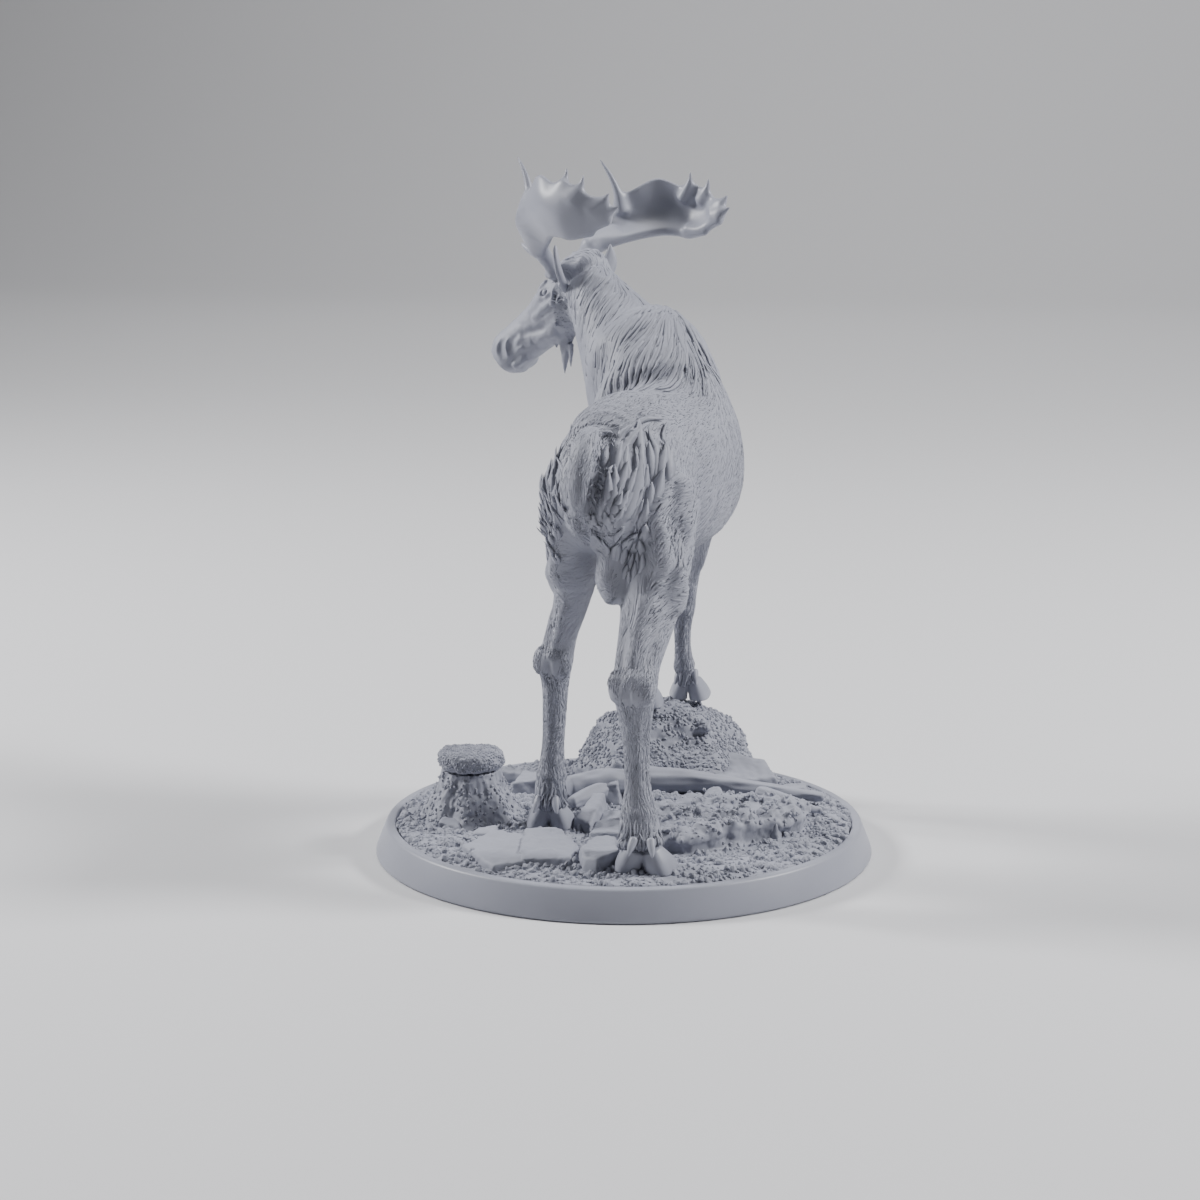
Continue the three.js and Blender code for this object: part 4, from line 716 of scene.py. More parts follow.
def makeEars(material):
    for label, side in (("right", 1), ("left", -1)):
        shell, cup = earLofts(side)
        clay = clayRound([shell], earLook["pitch"])
        blendIn(clay, loftValues(clay, shell), 9, 0.1)
        hollow = loftValues(clay, cup)
        clay["values"] = np.maximum(clay["values"], -hollow)
        clay["values"] += earLook["coatDepth"]
        soften(clay, 2)
        points, quads = claySurface(clay)
        meshPiece(f"earShell_{label}", points, [quads], material, [f"ear_{label}"])


# antlers

antlerLook = {"pitch": 0.13, "beadGap": 0.13, "bulge": 1.2, "lowThick": 1.1, "highThick": 0.55,
              "soft": 0.9, "bow": 0.1}
palmLow = [[4.9, -9.1, 59.0], [6.4, -7.0, 59.8], [8.6, -4.9, 60.5], [10.2, -3.3, 60.8],
           [10.8, -1.8, 60.7], [10.9, -0.6, 60.5], [10.8, 0.6, 60.8], [10.7, 1.5, 61.3],
           [10.4, 3.5, 62.2]]
palmHigh = [[5.6, -10.2, 60.3], [8.4, -9.4, 62.0], [8.5, -8.4, 64.2], [9.2, -6.8, 65.4],
            [10.7, -4.8, 66.6], [11.6, -2.4, 65.8], [11.9, -0.6, 65.9], [11.8, 1.2, 64.9],
            [10.9, 3.6, 63.9]]
palmRoot = [[4.5, -9.3, 59.1, 1.0, 1.0], [5.8, -8.9, 60.0, 1.25, 0.85], [7.4, -8.0, 60.9, 1.5, 0.5]]
beamRows = [[2.0, -9.0, 56.2, 0.75], [2.8, -9.2, 57.4, 0.72], [3.8, -9.3, 58.5, 0.85],
            [4.9, -9.3, 59.4, 1.0]]
browTine = {-1: [[3.3, -9.6, 58.1, 0.5], [3.5, -11.2, 58.8, 0.4], [3.3, -12.6, 59.6, 0.2]],
            1: [[3.3, -9.6, 58.1, 0.45], [3.4, -10.2, 58.3, 0.36], [3.4, -10.8, 58.6, 0.2]]}
burr = [2.2, -9.2, 56.6]
palmTines = [
    ([8.4, -7.8, 63.0], [7.4, -10.2, 68.7], 1.0), ([11.5, -2.0, 64.4], [11.4, -0.9, 67.5], 0.8),
    ([11.8, 0.2, 64.2], [11.6, 1.3, 66.8], 0.75), ([11.1, 2.1, 63.3], [11.1, 4.1, 65.0], 0.7),
    ([10.6, 2.6, 62.7], [10.4, 4.9, 63.7], 0.62), ([10.8, -0.8, 61.3], [10.5, 1.7, 60.8], 0.6)]


def roundLoft(rows, side, across=(0.2, -0.1, 1), caps=(0.3, 0.3)):
    turned = [list(r) + [r[3], r[3]] for r in headRows([row[:4] for row in rows], side)]
    return loftOf(turned, side=across, power=2, caps=caps)


def tineRows(root, tip, radius):
    # a tine that bows a little before it reaches its tip
    bow = antlerLook["bow"] * np.linalg.norm(tip - root)
    middles = [(mix(root, tip, k) + np.array([0.0, bow * math.sin(math.pi * k), 0.0]), k)
               for k in (0, 0.33, 0.66, 1)]
    return [list(p) + [mix(radius, 0.16, k**0.8)] for p, k in middles]


def palmBeads(side):
    look = antlerLook
    last = len(palmLow) - 1
    places = np.linspace(0.1, last - 0.1, 110)
    beads, sizes = [], []
    for place in places:
        low, high = along(palmLow, place)[0], along(palmHigh, place)[0]
        steps = max(int(np.linalg.norm(high - low) / look["beadGap"]), 4)
        for k in np.linspace(0.04, 0.97, steps):
            s, b, z = mix(low, high, k)
            s += look["bulge"] * math.sin(math.pi * place / last) * math.sin(math.pi * k)
            beads.append(headPoint(s * side, b, z))
            sizes.append(mix(look["lowThick"], look["highThick"], k) / 2)
    return np.array(beads), np.array(sizes)


def antlerClay(side):
    look = antlerLook
    beads, sizes = palmBeads(side)
    beam = roundLoft(beamRows, side, caps=(0.3, 0.4))
    brow = roundLoft(browTine[side], side, caps=(0.2, 0.15))
    tines = [roundLoft(tineRows(np.array(a), np.array(b), 0.72 * r), side, headRight, (0.2, 0.1))
             for a, b, r in palmTines]
    flat = [headRows([palmLow[1]], side)[0], headRows([palmHigh[1]], side)[0]]
    root = loftOf([row + [row[4]] for row in headRows(palmRoot, side)],
                  side=unit(np.array(flat[1]) - flat[0]), power=2, caps=(0.4, 0.3))
    clay = clayRound([beam, brow, root] + tines, look["pitch"])
    addBeads(clay, beads, sizes)
    for loft in [root] + tines:
        blendIn(clay, loftValues(clay, loft), 1, look["soft"])
    blendIn(clay, loftValues(clay, beam), 0, 0.5)
    blendIn(clay, loftValues(clay, brow), 0, 0.5)
    start, after = headRows([burr, beamRows[1][:3]], side)
    axis = unit(np.array(after) - start)
    first = unit(np.cross(axis, up))
    second = np.cross(axis, first)
    turns = np.linspace(0, 2 * np.pi, 40, endpoint=False)
    ring = np.array(start) + 0.72 * (np.cos(turns)[:, None] * first + np.sin(turns)[:, None] * second)
    addBeads(clay, ring, 0.25 + 0.07 * np.cos(7 * turns))
    soften(clay, 2)
    return clay


def makeAntlers(material):
    for label, side in (("right", 1), ("left", -1)):
        points, quads = claySurface(antlerClay(side))
        nodes = [f"antler_beam_{label}", f"antler_palm_{label}"]
        meshPiece(f"antler_{label}", points, [quads], material, nodes)


# hooves and dewclaws

hoofLook = {"pitch": 0.12, "height": 2.1, "toe": 2.2, "heel": 1.35, "topShare": 0.74,
            "wall": 0.05, "dewLength": 1.05, "dewRadius": 0.42}


def turnedAbout(z, v):
    c, s = math.cos(z), math.sin(z)
    return np.array([v[0] * c - v[1] * s, v[0] * s + v[1] * c, v[2]])


def clawLoft(leg, side):
    look, size, share = hoofLook, leg["claw"], hoofLook["topShare"]
    rows = [[side * size * 0.62, 0, look["height"], size * share, look["heel"] * share],
            [side * size * 0.95, 0.25, look["height"] * 0.45, size * 0.92, look["toe"] * 0.8],
            [side * size * 1.1, 0.5, 0, size, look["toe"]]]
    rears = [look["heel"] * share, look["heel"] * 0.95, look["heel"]]
    turn = math.radians(leg["heading"] - side * leg["spread"])
    stations = [list(turnedAbout(turn, r[:3]) + leg["hoof"]) + r[3:] + [rear]
                for r, rear in zip(rows, rears)]
    across = turnedAbout(turn, (1, 0, 0))
    return loftOf(stations, side=across, power=2.8, caps=(0.3, 0.5))


def makeHooves(material):
    for name, leg in legs.items():
        claws = [clawLoft(leg, side) for side in (-1, 1)]
        clay = clayRound(claws, hoofLook["pitch"])
        blendIn(clay, loftValues(clay, claws[0]), 0, 0.1)
        blendIn(clay, loftValues(clay, claws[1]), 0, 0.16)
        x, y, z = leg["hoof"]
        ahead = turnedAbout(math.radians(leg["heading"]), (0, 1, 0))
        cleft = [np.array([x, y, z + h]) + ahead * a for h, a in ((2.1, 1.5), (1.0, 2.4), (0.0, 2.9))]
        addStroke(clay, cleft, 0.22, -0.5, taper=0)
        heights = clay["low"][2] + hoofLook["pitch"] * np.arange(clay["values"].shape[2])
        clay["values"] = np.maximum(clay["values"] + hoofLook["wall"], (z + 0.02 - heights)[None, None])
        clay["values"][..., 0] = 1
        points, quads = claySurface(clay)
        meshPiece(f"claws_{name}", points, [quads], material, [f"hoof_{name}"])


def dewclawLofts(leg):
    look = hoofLook
    x, y, z = leg["hoof"]
    found = []
    for side in (-1, 1):
        root = np.array([x + side * 0.8, y - 1.0, z + 3.3])
        tip = np.array([x + side * 1.15, y - 1.95, z + 3.1 - look["dewLength"]])
        rows = [list(mix(root, tip, k)) + [mix(look["dewRadius"], 0.14, k * k)] * 3
                for k in (0, 0.5, 1)]
        found.append(loftOf(rows, power=2, caps=(0.3, 0.15)))
    return found


def makeDewclaws(material):
    parts = []
    for leg in legs.values():
        for loft in dewclawLofts(leg):
            clay = clayRound([loft], 0.09)
            blendIn(clay, loftValues(clay, loft), 0, 0.05)
            soften(clay)
            parts.append(claySurface(clay))
    points, quads = joinMeshes(parts)
    meshPiece("dewclaws", points, [quads], material)


# the lie of the coat: directions near anchors on the lofts, spread over a coarse grid

ahead = np.array([0.0, 1.0, 0.0])
maneWay = np.array([-0.2, -0.36, -0.9])
lieLook = {"pitch": 0.9, "reach": 2.2, "wave": 0.5, "waveSize": 3.2, "ripple": 0.22, "rippleSize": 0.9}


def lieOf(name, loft, place, angle):
    forward, right, rise = (v[0] for v in framesAt(loft, place))
    c, s = math.cos(angle), math.sin(angle)
    outwards = unit(right * c + rise * s)
    growing = np.cross(forward, outwards)
    away = -growing if c > 0 else growing
    crest = max(s, 0)
    if name == "neck":
        return maneWay
    if name == "torso":
        mane = smoothStep(3.6, 5.0, place) * (smoothStep(-0.2, 0.5, s) if c > 0 else 1)
        body = -forward - up * 0.75 + away * 0.35 * crest
        return body * (1 - mane) + maneWay * mane
    if name == "head":
        hanging = (1 - smoothStep(1.4, 2.2, place)) * (1 - smoothStep(0.0, 0.7, s))
        return unit(-noseWay - up * 0.35 + away * 0.2) * (1 - hanging) + unit(maneWay) * hanging
    if name in ("hindRight", "hindLeft") and place < 5.5:
        high = 1 - smoothStep(3.0, 5.5, place)
        return forward * mix(1.0, 0.45, high) - ahead * 0.8 * high * (1 - max(s, 0))
    return forward - up * 0.2


def makeLie(named):
    places, ways = [], []
    for name, loft in named.items():
        last = len(loft["stations"]) - 1
        for place in np.arange(0.15, last, 0.4):
            for angle in np.radians(np.arange(0, 360, 30)):
                places.append(surfacePoint(loft, place, angle)[0])
                ways.append(unit(lieOf(name, loft, place, angle)))
    places, ways = np.array(places), np.array(ways)
    lie = newClay([-24.4, -21, 3.6], [12.6, 27.6, 62.6], lieLook["pitch"])
    shape = lie["values"].shape
    axes = [lie["low"][i] + lie["pitch"] * np.arange(shape[i]) for i in range(3)]
    field = np.zeros(shape + (3,), np.float32)
    for i, x in enumerate(axes[0]):
        near = np.abs(places[:, 0] - x) < 3.5 * lieLook["reach"]
        if not near.any():
            continue
        spot = np.stack(np.meshgrid([x], axes[1], axes[2], indexing="ij"), -1).reshape(-1, 3)
        gaps = ((spot[:, None] - places[near][None]) ** 2).sum(-1)
        weight = np.exp(-gaps / (2 * (lieLook["reach"] * 0.5) ** 2)) + 1e-12
        field[i] = ((weight @ ways[near]) / weight.sum(1, keepdims=True)).reshape(shape[1], shape[2], 3)
    return {"low": lie["low"], "pitch": lie["pitch"], "field": field}


def lieAt(lie, points):
    p = np.clip((points - lie["low"]) / lie["pitch"], 0, np.array(lie["field"].shape[:3]) - 1.001)
    cell = p.astype(int)
    f = p - cell
    total = np.zeros((len(points), 3))
    for corner in np.ndindex(2, 2, 2):
        c = cell + np.array(corner)
        weight = np.prod(np.where(corner, f, 1 - f), axis=-1)
        total += lie["field"][c[:, 0], c[:, 1], c[:, 2]] * weight[:, None]
    return unit(total)


def turned(v, axis, angle):
    # v turned about unit axes that are square to it
    return v * np.cos(angle)[:, None] + np.cross(axis, v) * np.sin(angle)[:, None]


# tufts

def spotsOn(points, quads, spacing, rng, where=None, skin=None):
    # roots spread over the skin, about one in each small cell, none on the face of a cut
    a, b, c, d = (points[quads[:, i]] for i in range(4))
    areas = 0.5 * np.linalg.norm(np.cross(c - a, d - b), axis=1)
    if where is not None:
        areas = areas * where((a + c) / 2)
    count = int(areas.sum() / spacing**2 * 2.2)
    pick = rng.choice(len(quads), count, p=areas / areas.sum())
    u, v = rng.random((2, count, 1))
    found = (a[pick] * (1 - u) + b[pick] * u) * (1 - v) + (d[pick] * (1 - u) + c[pick] * u) * v
    if skin is not None:
        found = found[np.abs(clayAt(skin, found) + skinLook["coatDepth"]) < skinLook["offSkin"]]
    cells = np.floor(found / spacing).astype(np.int64)
    _, first = np.unique(cells @ np.array([1, 100003, 10000600009]), return_index=True)
    return found[first]


def growTufts(skin, lie, roots, look, rng, size=None, way=None):
    # rings of each tuft, stepped along the skin: centres, outward normals and shares of the length
    count, rings = len(roots), look["rings"]
    size = np.ones(count) if size is None else size
    long = look["long"] * size * rng.uniform(0.75, 1.2, count)
    lean = rng.normal(0, look["spread"], count)
    swing = rng.normal(0, look["swing"], count)
    lift = look["tip"] * np.minimum(size, 1.3) * rng.uniform(0.5, 1.3, count)
    here = roots.copy()
    centres, outs = [], []
    for i in range(rings + 1):
        k = i / rings
        n = clayNormal(skin, here, look.get("smoothing", 0.3))
        here -= n * (clayAt(skin, here) + skinLook["coatDepth"])[:, None]
        centres.append(here + n * (lift * k**1.6 + look["base"] * (1 - k))[:, None])
        outs.append(n)
        d = lieAt(lie, here) if way is None else way(here)
        wave = lieLook["wave"] * latticeNoise(here, lieLook["waveSize"], 3)
        wave += lieLook["ripple"] * latticeNoise(here, lieLook["rippleSize"], 5)
        d = unit(d - n * (d * n).sum(1, keepdims=True))
        d = turned(d, n, wave * look["waving"] + lean + swing * k)
        here = here + d * (long / rings)[:, None]
    return np.array(centres), np.array(outs)


def tuftMesh(centres, outs, look, wide, square=False):
    # a ridged blade over each row of centres, closed at root and tip
    rings, count = len(centres) - 1, centres.shape[1]
    ahead = unit(np.concatenate([centres[1:] - centres[:-1], centres[-1:] - centres[-2:-1]]))
    across = unit(np.cross(outs, ahead))
    rows = []
    for i in range(rings):
        k = i / rings
        full = look["fullness"](k)
        half = 0.5 * wide * full
        side = across[i] * half[:, None]
        sink = outs[i] * (look["sink"] * (1 - k))
        ridge = centres[i] + outs[i] * (look["thick"] * wide * math.sqrt(full))[:, None]
        ring = [centres[i] + side - sink, ridge, centres[i] - side - sink]
        if square:
            ring.append(centres[i] - outs[i] * (0.6 * look["thick"] * wide * math.sqrt(full))[:, None])
        rows.append(np.stack(ring, 1))
    corners = 4 if square else 3
    points = np.concatenate([np.concatenate(rows, 1), centres[-1][:, None]], 1)
    each = rings * corners + 1
    quads, tips = [], []
    for r in range(rings - 1):
        for c in range(corners):
            n = (c + 1) % corners
            quads.append([r * corners + c, r * corners + n, (r + 1) * corners + n, (r + 1) * corners + c])
    for c in range(corners):
        top = (rings - 1) * corners
        tips.append([top + c, top + (c + 1) % corners, each - 1])
    tips.append([2, 1, 0])
    if square:
        tips.append([3, 2, 0])
    base = np.arange(count)[:, None, None] * each
    return points, (base + np.array(quads)).reshape(-1, 4), (base + np.array(tips)).reshape(-1, 3)


def bladeFull(k):
    return 0.75 + 0.25 * math.sin(math.pi * min(k * 1.6, 1)) if k < 0.35 else (1 - k) ** 0.6 * 1.3


def leafFull(k):
    widest = 0.42
    if k < widest:
        return 0.55 + 0.45 * math.sin(0.5 * math.pi * k / widest)
    return 1 - ((k - widest) / (1 - widest)) ** 1.25


# each tuft's patch: its root's place on an unwrap of the lofts, one square of nine for each loft

patchSize = 0.003


def unwrapped(roots, parts):
    uv = np.zeros((len(roots), 2))
    for part in np.unique(parts):
        loft = lofts[min(part, len(lofts) - 1)]
        some = parts == part
        last = len(loft["stations"]) - 1
        places = np.linspace(0, last, 12 * last)
        rows = along(loft["stations"], places)
        nearest = np.empty(some.sum(), int)
        spots = roots[some]
        for start in range(0, len(spots), 4000):
            gaps = np.linalg.norm(spots[start:start + 4000, None] - rows[None, :, :3], axis=-1)
            nearest[start:start + 4000] = gaps.argmin(1)
        _, right, rise = framesAt(loft, places)
        d = spots - rows[nearest, :3]
        angle = np.arctan2((d * rise[nearest]).sum(1), (d * right[nearest]).sum(1))
        column, row = part % 3, part // 3
        uv[some, 0] = (column + 0.05 + 0.9 * (angle / (2 * np.pi) + 0.5)) / 3
        uv[some, 1] = (row + 0.05 + 0.9 * places[nearest] / last) / 3
    return uv


def coatPiece(name, skin, roots, centres, outs, look, wide, material, square=False):
    points, quads, tips = tuftMesh(centres, outs, look, wide, square)
    each = points.shape[1]
    places = unwrapped(roots, partAt(skin, roots))
    corners = 4 if square else 3
    rings = np.minimum(np.arange(each) // corners, look["rings"])
    patch = np.stack([np.arange(each) % corners / corners, rings / look["rings"]], -1) - 0.5
    uv = places[:, None] + patch[None] * patchSize
    return meshPiece(name, points.reshape(-1, 3), [quads, tips], material,
                     uv=uv.reshape(-1, 2))


shortFur = {"long": 1.8, "wide": 0.18, "rings": 4, "base": 0.0, "tip": 0.02, "sink": 0.06,
            "thick": 0.1, "spread": 0.09, "swing": 0.12, "waving": 1.0, "spacing": 0.33,
            "fullness": bladeFull}
faceFur = {"long": 0.8, "wide": 0.15, "rings": 3, "base": -0.02, "tip": 0.015, "sink": 0.06,
           "thick": 0.15, "spread": 0.14, "swing": 0.1, "waving": 0.7, "spacing": 0.24,
           "fullness": bladeFull}
maneHair = {"long": 5.2, "wide": 0.3, "rings": 8, "base": -0.02, "tip": 0.05, "sink": 0.06,
            "thick": 0.23, "spread": 0.04, "swing": 0.07, "waving": 0.5, "spacing": 0.52,
            "fullness": bladeFull, "smoothing": 0.6}
maneLocks = {"long": 7.2, "wide": 0.7, "rings": 10, "base": -0.05, "tip": 0.13, "sink": 0.12,
             "thick": 0.28, "spread": 0.05, "swing": 0.1, "waving": 0.5, "spacing": 0.8,
             "fullness": bladeFull, "smoothing": 0.8}
legFur = {"long": 0.95, "wide": 0.16, "rings": 3, "base": 0.0, "tip": 0.035, "sink": 0.05,
          "thick": 0.2, "spread": 0.14, "swing": 0.12, "waving": 1.2, "spacing": 0.25,
          "fullness": bladeFull}
pasternFur = {"long": 1.9, "wide": 0.34, "rings": 5, "base": 0.0, "tip": 0.3, "sink": 0.12,
              "thick": 0.26, "spread": 0.16, "swing": 0.2, "waving": 0.4, "spacing": 0.42,
              "fullness": bladeFull}
leafLocks = {"long": 1.0, "wide": 1.0, "rings": 7, "base": -0.05, "tip": 0.36, "sink": 0.05,
             "thick": 0.17, "spread": 0.09, "swing": 0.2, "waving": 0.0, "fullness": leafFull,
             "smoothing": 0.7}
thighLocks = {"long": 2.7, "wide": 0.55, "rings": 7, "base": -0.06, "tip": 0.05, "sink": 0.08,
              "thick": 0.14, "spread": 0.08, "swing": 0.18, "waving": 1.2, "spacing": 0.62,
              "fullness": bladeFull, "smoothing": 0.6}
# the field of leaf-shaped locks at the back of each thigh: its edges as [height, x], and the
# locks' length and width at its lowest and highest roots
leafFields = {
    "right": {"inner": [[29.4, 2.9], [33.2, 1.0], [37.1, 1.0], [40.6, 1.6]],
              "outer": [[29.4, 3.9], [31.7, 4.6], [33.6, 5.0], [36.0, 5.6], [37.7, 7.0], [40.8, 7.1]],
              "long": [1.9, 4.2], "wide": [0.85, 1.5], "way": [0.22, 0.0, 1.0]},
    "left": {"inner": [[30.8, -5.8], [33.0, -5.7], [37.0, -5.6], [40.8, -4.6]],
             "outer": [[30.8, -1.3], [34.0, -0.8], [36.2, -1.4], [37.2, -3.9], [40.8, -4.1]],
             "long": [1.6, 2.6], "wide": [0.7, 0.95], "way": [0.04, 0.0, 1.0]},
}


# large locks on the thighs: the knots that each runs through, and its width in mm; a pair of numbers
# is the pixel of the camera's frame that shows the knot, and three are its place in mm
bigLocks = [
    {"root": (3.4, -17.1, 36.0), "middle": (4.5, -16.1, 39.2), "tip": (4.3, -14.3, 42.8), "wide": 2.5},
    {"root": (600, 520), "middle": (1.5, -18.0, 38.5), "tip": (607, 468), "wide": 1.1},
    {"root": (618, 520), "middle": (632, 495), "tip": (643, 465), "wide": 1.6},
    {"root": (655, 490), "middle": (657, 450), "tip": (648, 428), "wide": 1.2},
    {"root": (620, 480), "middle": (625, 445), "tip": (650, 422), "wide": 1.4},
    {"root": (615, 470), "middle": (618, 440), "tip": (632, 425), "wide": 1.2},
    {"root": (625, 430), "middle": (645, 418), "tip": (665, 420), "wide": 0.8},
    {"root": (3.3, -12.6, 45.0), "middle": (3.7, -12.1, 45.4), "tip": (642, 412), "wide": 0.5},
    {"root": (670, 455), "middle": (6.5, -12.0, 43.2), "tip": (666, 421), "wide": 0.8},
    {"root": (603, 470), "middle": (1.5, -16.0, 42.3), "tip": (612, 433), "wide": 0.8},
    {"root": (598, 500), "middle": (1.3, -17.4, 40.2), "tip": (606, 455), "wide": 0.8},
    {"root": (598, 510), "middle": (0.9, -17.9, 38.6), "tip": (594, 480), "wide": 0.5},
    {"root": (0.4, -16.5, 34.9), "middle": (0.3, -17.6, 36.8), "tip": (0.4, -18.4, 38.5), "wide": 0.7},
    {"root": (615, 505), "middle": (2.9, -17.6, 38.4), "tip": (620, 487), "wide": 0.6},
    {"root": (612, 535), "middle": (2.0, -17.6, 36.0), "tip": (604, 511), "wide": 0.9},
    {"root": (614, 530), "middle": (2.9, -17.5, 36.4), "tip": (623, 505), "wide": 0.9},
    {"root": (616, 545), "middle": (2.8, -16.5, 34.7), "tip": (623, 525), "wide": 0.9},
    {"root": (2.3, -14.7, 31.9), "middle": (2.6, -15.5, 33.1), "tip": (621, 538), "wide": 0.8},
    {"root": (638, 545), "middle": (4.3, -15.6, 34.4), "tip": (635, 527), "wide": 0.5},
    {"root": (1.3, -14.5, 32.3), "middle": (1.3, -15.6, 33.3), "tip": (1.3, -16.5, 34.3), "wide": 0.7},
    {"root": (626, 575), "middle": (3.5, -14.8, 31.7), "tip": (634, 552), "wide": 0.8},
    {"root": (655, 500), "middle": (5.8, -15.4, 38.6), "tip": (651, 483), "wide": 0.6},
    {"root": (640, 520), "middle": (5.3, -15.7, 36.5), "tip": (655, 512), "wide": 0.5},
    {"root": (650, 501), "middle": (6.1, -15.3, 38.0), "tip": (664, 499), "wide": 0.5},
    {"root": (562, 475), "middle": (-3.3, -14.6, 40.7), "tip": (557, 457), "wide": 0.6},
    {"root": (552, 520), "middle": (-4.6, -13.4, 36.4), "tip": (546, 498), "wide": 0.6},
    {"root": (-3.0, -13.6, 42.6), "middle": (-3.2, -12.4, 43.6), "tip": (-3.1, -11.2, 44.4), "wide": 0.6},
    {"root": (-4.4, -12.6, 38.2), "middle": (-4.9, -11.6, 39.6), "tip": (-5.1, -10.6, 40.9), "wide": 0.7}]
sightLine = {"nearest": 195.0, "farthest": 265.0, "step": 0.1}


def seenOnSkin(body, pixel):
    # where the camera's line through a pixel of its frame first meets the skin
    place, target = (np.array(cameraLook[name]) / metre for name in ("place", "target"))
    ahead = unit(target - place)
    right = unit(np.cross(ahead, up))
    x, y = np.array(pixel) - cameraLook["frame"] / 2
    focal = cameraLook["frame"] * cameraLook["lens"] / cameraLook["sensor"]
    way = unit(ahead * focal + right * x - np.cross(right, ahead) * y)
    reach = np.arange(sightLine["nearest"], sightLine["farthest"], sightLine["step"])
    line = place + way * reach[:, None]
    return line[(clayAt(body, line) < skinLook["coatDepth"]).argmax()]


def lockKnots(body, lock):
    knots = [lock[name] for name in ("root", "middle", "tip")]
    return np.array([seenOnSkin(body, knot) if len(knot) == 2 else knot for knot in knots])


def makeBigLocks(body, material):
    # each lock runs along its knots, laid on the skin
    look = dict(leafLocks, rings=9)
    locks = [lockKnots(body, lock) for lock in bigLocks]
    rows, outs = [], []
    for i in range(look["rings"] + 1):
        k = i / look["rings"]
        here = np.array([along(knots, 2 * k)[0] for knots in locks])
        n = clayNormal(body, here, look["smoothing"])
        here -= n * (clayAt(body, here) + skinLook["coatDepth"])[:, None]
        rows.append(here + n * mix(look["base"], look["tip"], k**1.5))
        outs.append(n)
    wide = np.array([lock["wide"] for lock in bigLocks])
    coatPiece("bigLocks", body, rows[0], np.array(rows), np.array(outs), look, wide, material, True)


def inMane(p, parts):
    # the neck, the withers and the strands behind them down to the loin
    withers = (parts == 0) & (p[:, 1] > 3.8) & (p[:, 2] > 43.5) & (p[:, 0] < 5.2)
    chest = (parts == 0) & (p[:, 1] > 14.5) & (p[:, 2] > 36)
    d = (p - poll) @ noseWay
    return ((parts == 1) & (d < 6)) | ((parts == 2) & (d < 2.3)) | withers | chest


def maneSize(roots, bend):
    # the share of a strand's full length, small on the dome, behind the ears and on a whorl
    behind = smoothStep(0.6, 4.0, (poll - roots) @ noseWay)
    below = smoothStep(2.5, 6.0, (poll - roots) @ browWay)
    return (0.3 + 0.7 * np.maximum(behind, 0.7 * below)) * mix(0.35, 1, smoothStep(0.1, 0.35, bend))


def kneeHeight(parts):
    # where each leg's long fur gives way to short
    return np.where((parts == 5) | (parts == 6), 24.0, 22.0)


def inLeaves(body, p):
    return (inField(body, p, leafFields["right"]) + inField(body, p, leafFields["left"])) > 0


def makeShortFur(body, bodyMesh, lie, material):
    rng = np.random.default_rng(7)

    def wanted(p):
        parts = partAt(body, p)
        onHead = (p - neckCut["point"]) @ neckCut["way"] > 0.3
        onLeg = (parts >= 3) & (parts <= 6) & (p[:, 2] < kneeHeight(parts))
        return np.where(onHead | inMane(p, parts) | onLeg | inLeaves(body, p), 0.0, 1.0)

    roots = spotsOn(*bodyMesh, shortFur["spacing"], rng, wanted, body)
    parts = partAt(body, roots)
    centres, outs = growTufts(body, lie, roots, shortFur, rng)
    wide = shortFur["wide"] * rng.uniform(0.75, 1.25, len(roots))
    regions = {"furTorsoRight": (parts == 0) & (roots[:, 0] > 1.6),
               "furTorsoLeft": (parts == 0) & (roots[:, 0] <= 1.6),
               "furHindRight": parts == 3, "furHindLeft": (parts == 4) | (parts == 7),
               "furFore": (parts == 5) | (parts == 6)}
    for name, some in regions.items():
        if some.any():
            coatPiece(name, body, roots[some], centres[:, some], outs[:, some], shortFur, wide[some],
                      material)


def makeLegFur(body, bodyMesh, lie, material):
    rng = np.random.default_rng(47)

    def onLegs(p):
        parts = partAt(body, p)
        hoofTop = np.where((parts == 5) | (parts == 6), 13.8, 6.3)
        low = (parts >= 3) & (parts <= 6) & (p[:, 2] < kneeHeight(parts) + 0.6) & (p[:, 2] > hoofTop)
        bare = np.zeros(len(p), bool)
        for knob, reach in bareKnobs:
            bare |= np.linalg.norm(p - knob, axis=1) < reach
        return np.where(low & ~bare, 1.0, 0.0)

    def nearHoof(p):
        parts = partAt(body, p)
        fore = (parts == 5) | (parts == 6)
        low, high = np.where(fore, 13.2, 5.2), np.where(fore, 14.8, 8.4)
        return np.where((parts >= 3) & (parts <= 6) & (p[:, 2] > low) & (p[:, 2] < high), 1.0, 0.0)

    def onThighs(p):
        parts = partAt(body, p)
        outer = (p[:, 0] > 4.0) & (p[:, 1] < 2) & (p[:, 2] < 40)
        thigh = (parts == 3) | ((parts == 0) & (p[:, 1] < -5))
        return np.where(thigh & outer & (p[:, 2] > 27.5) & ~inLeaves(body, p), 1.0, 0.0)

    for name, look, where in (("furLegs", legFur, onLegs), ("furPasterns", pasternFur, nearHoof),
                              ("thighLocks", thighLocks, onThighs)):
        roots = spotsOn(*bodyMesh, look["spacing"], rng, where)
        centres, outs = growTufts(body, lie, roots, look, rng)
        wide = look["wide"] * rng.uniform(0.75, 1.25, len(roots))
        coatPiece(name, body, roots, centres, outs, look, wide, material)


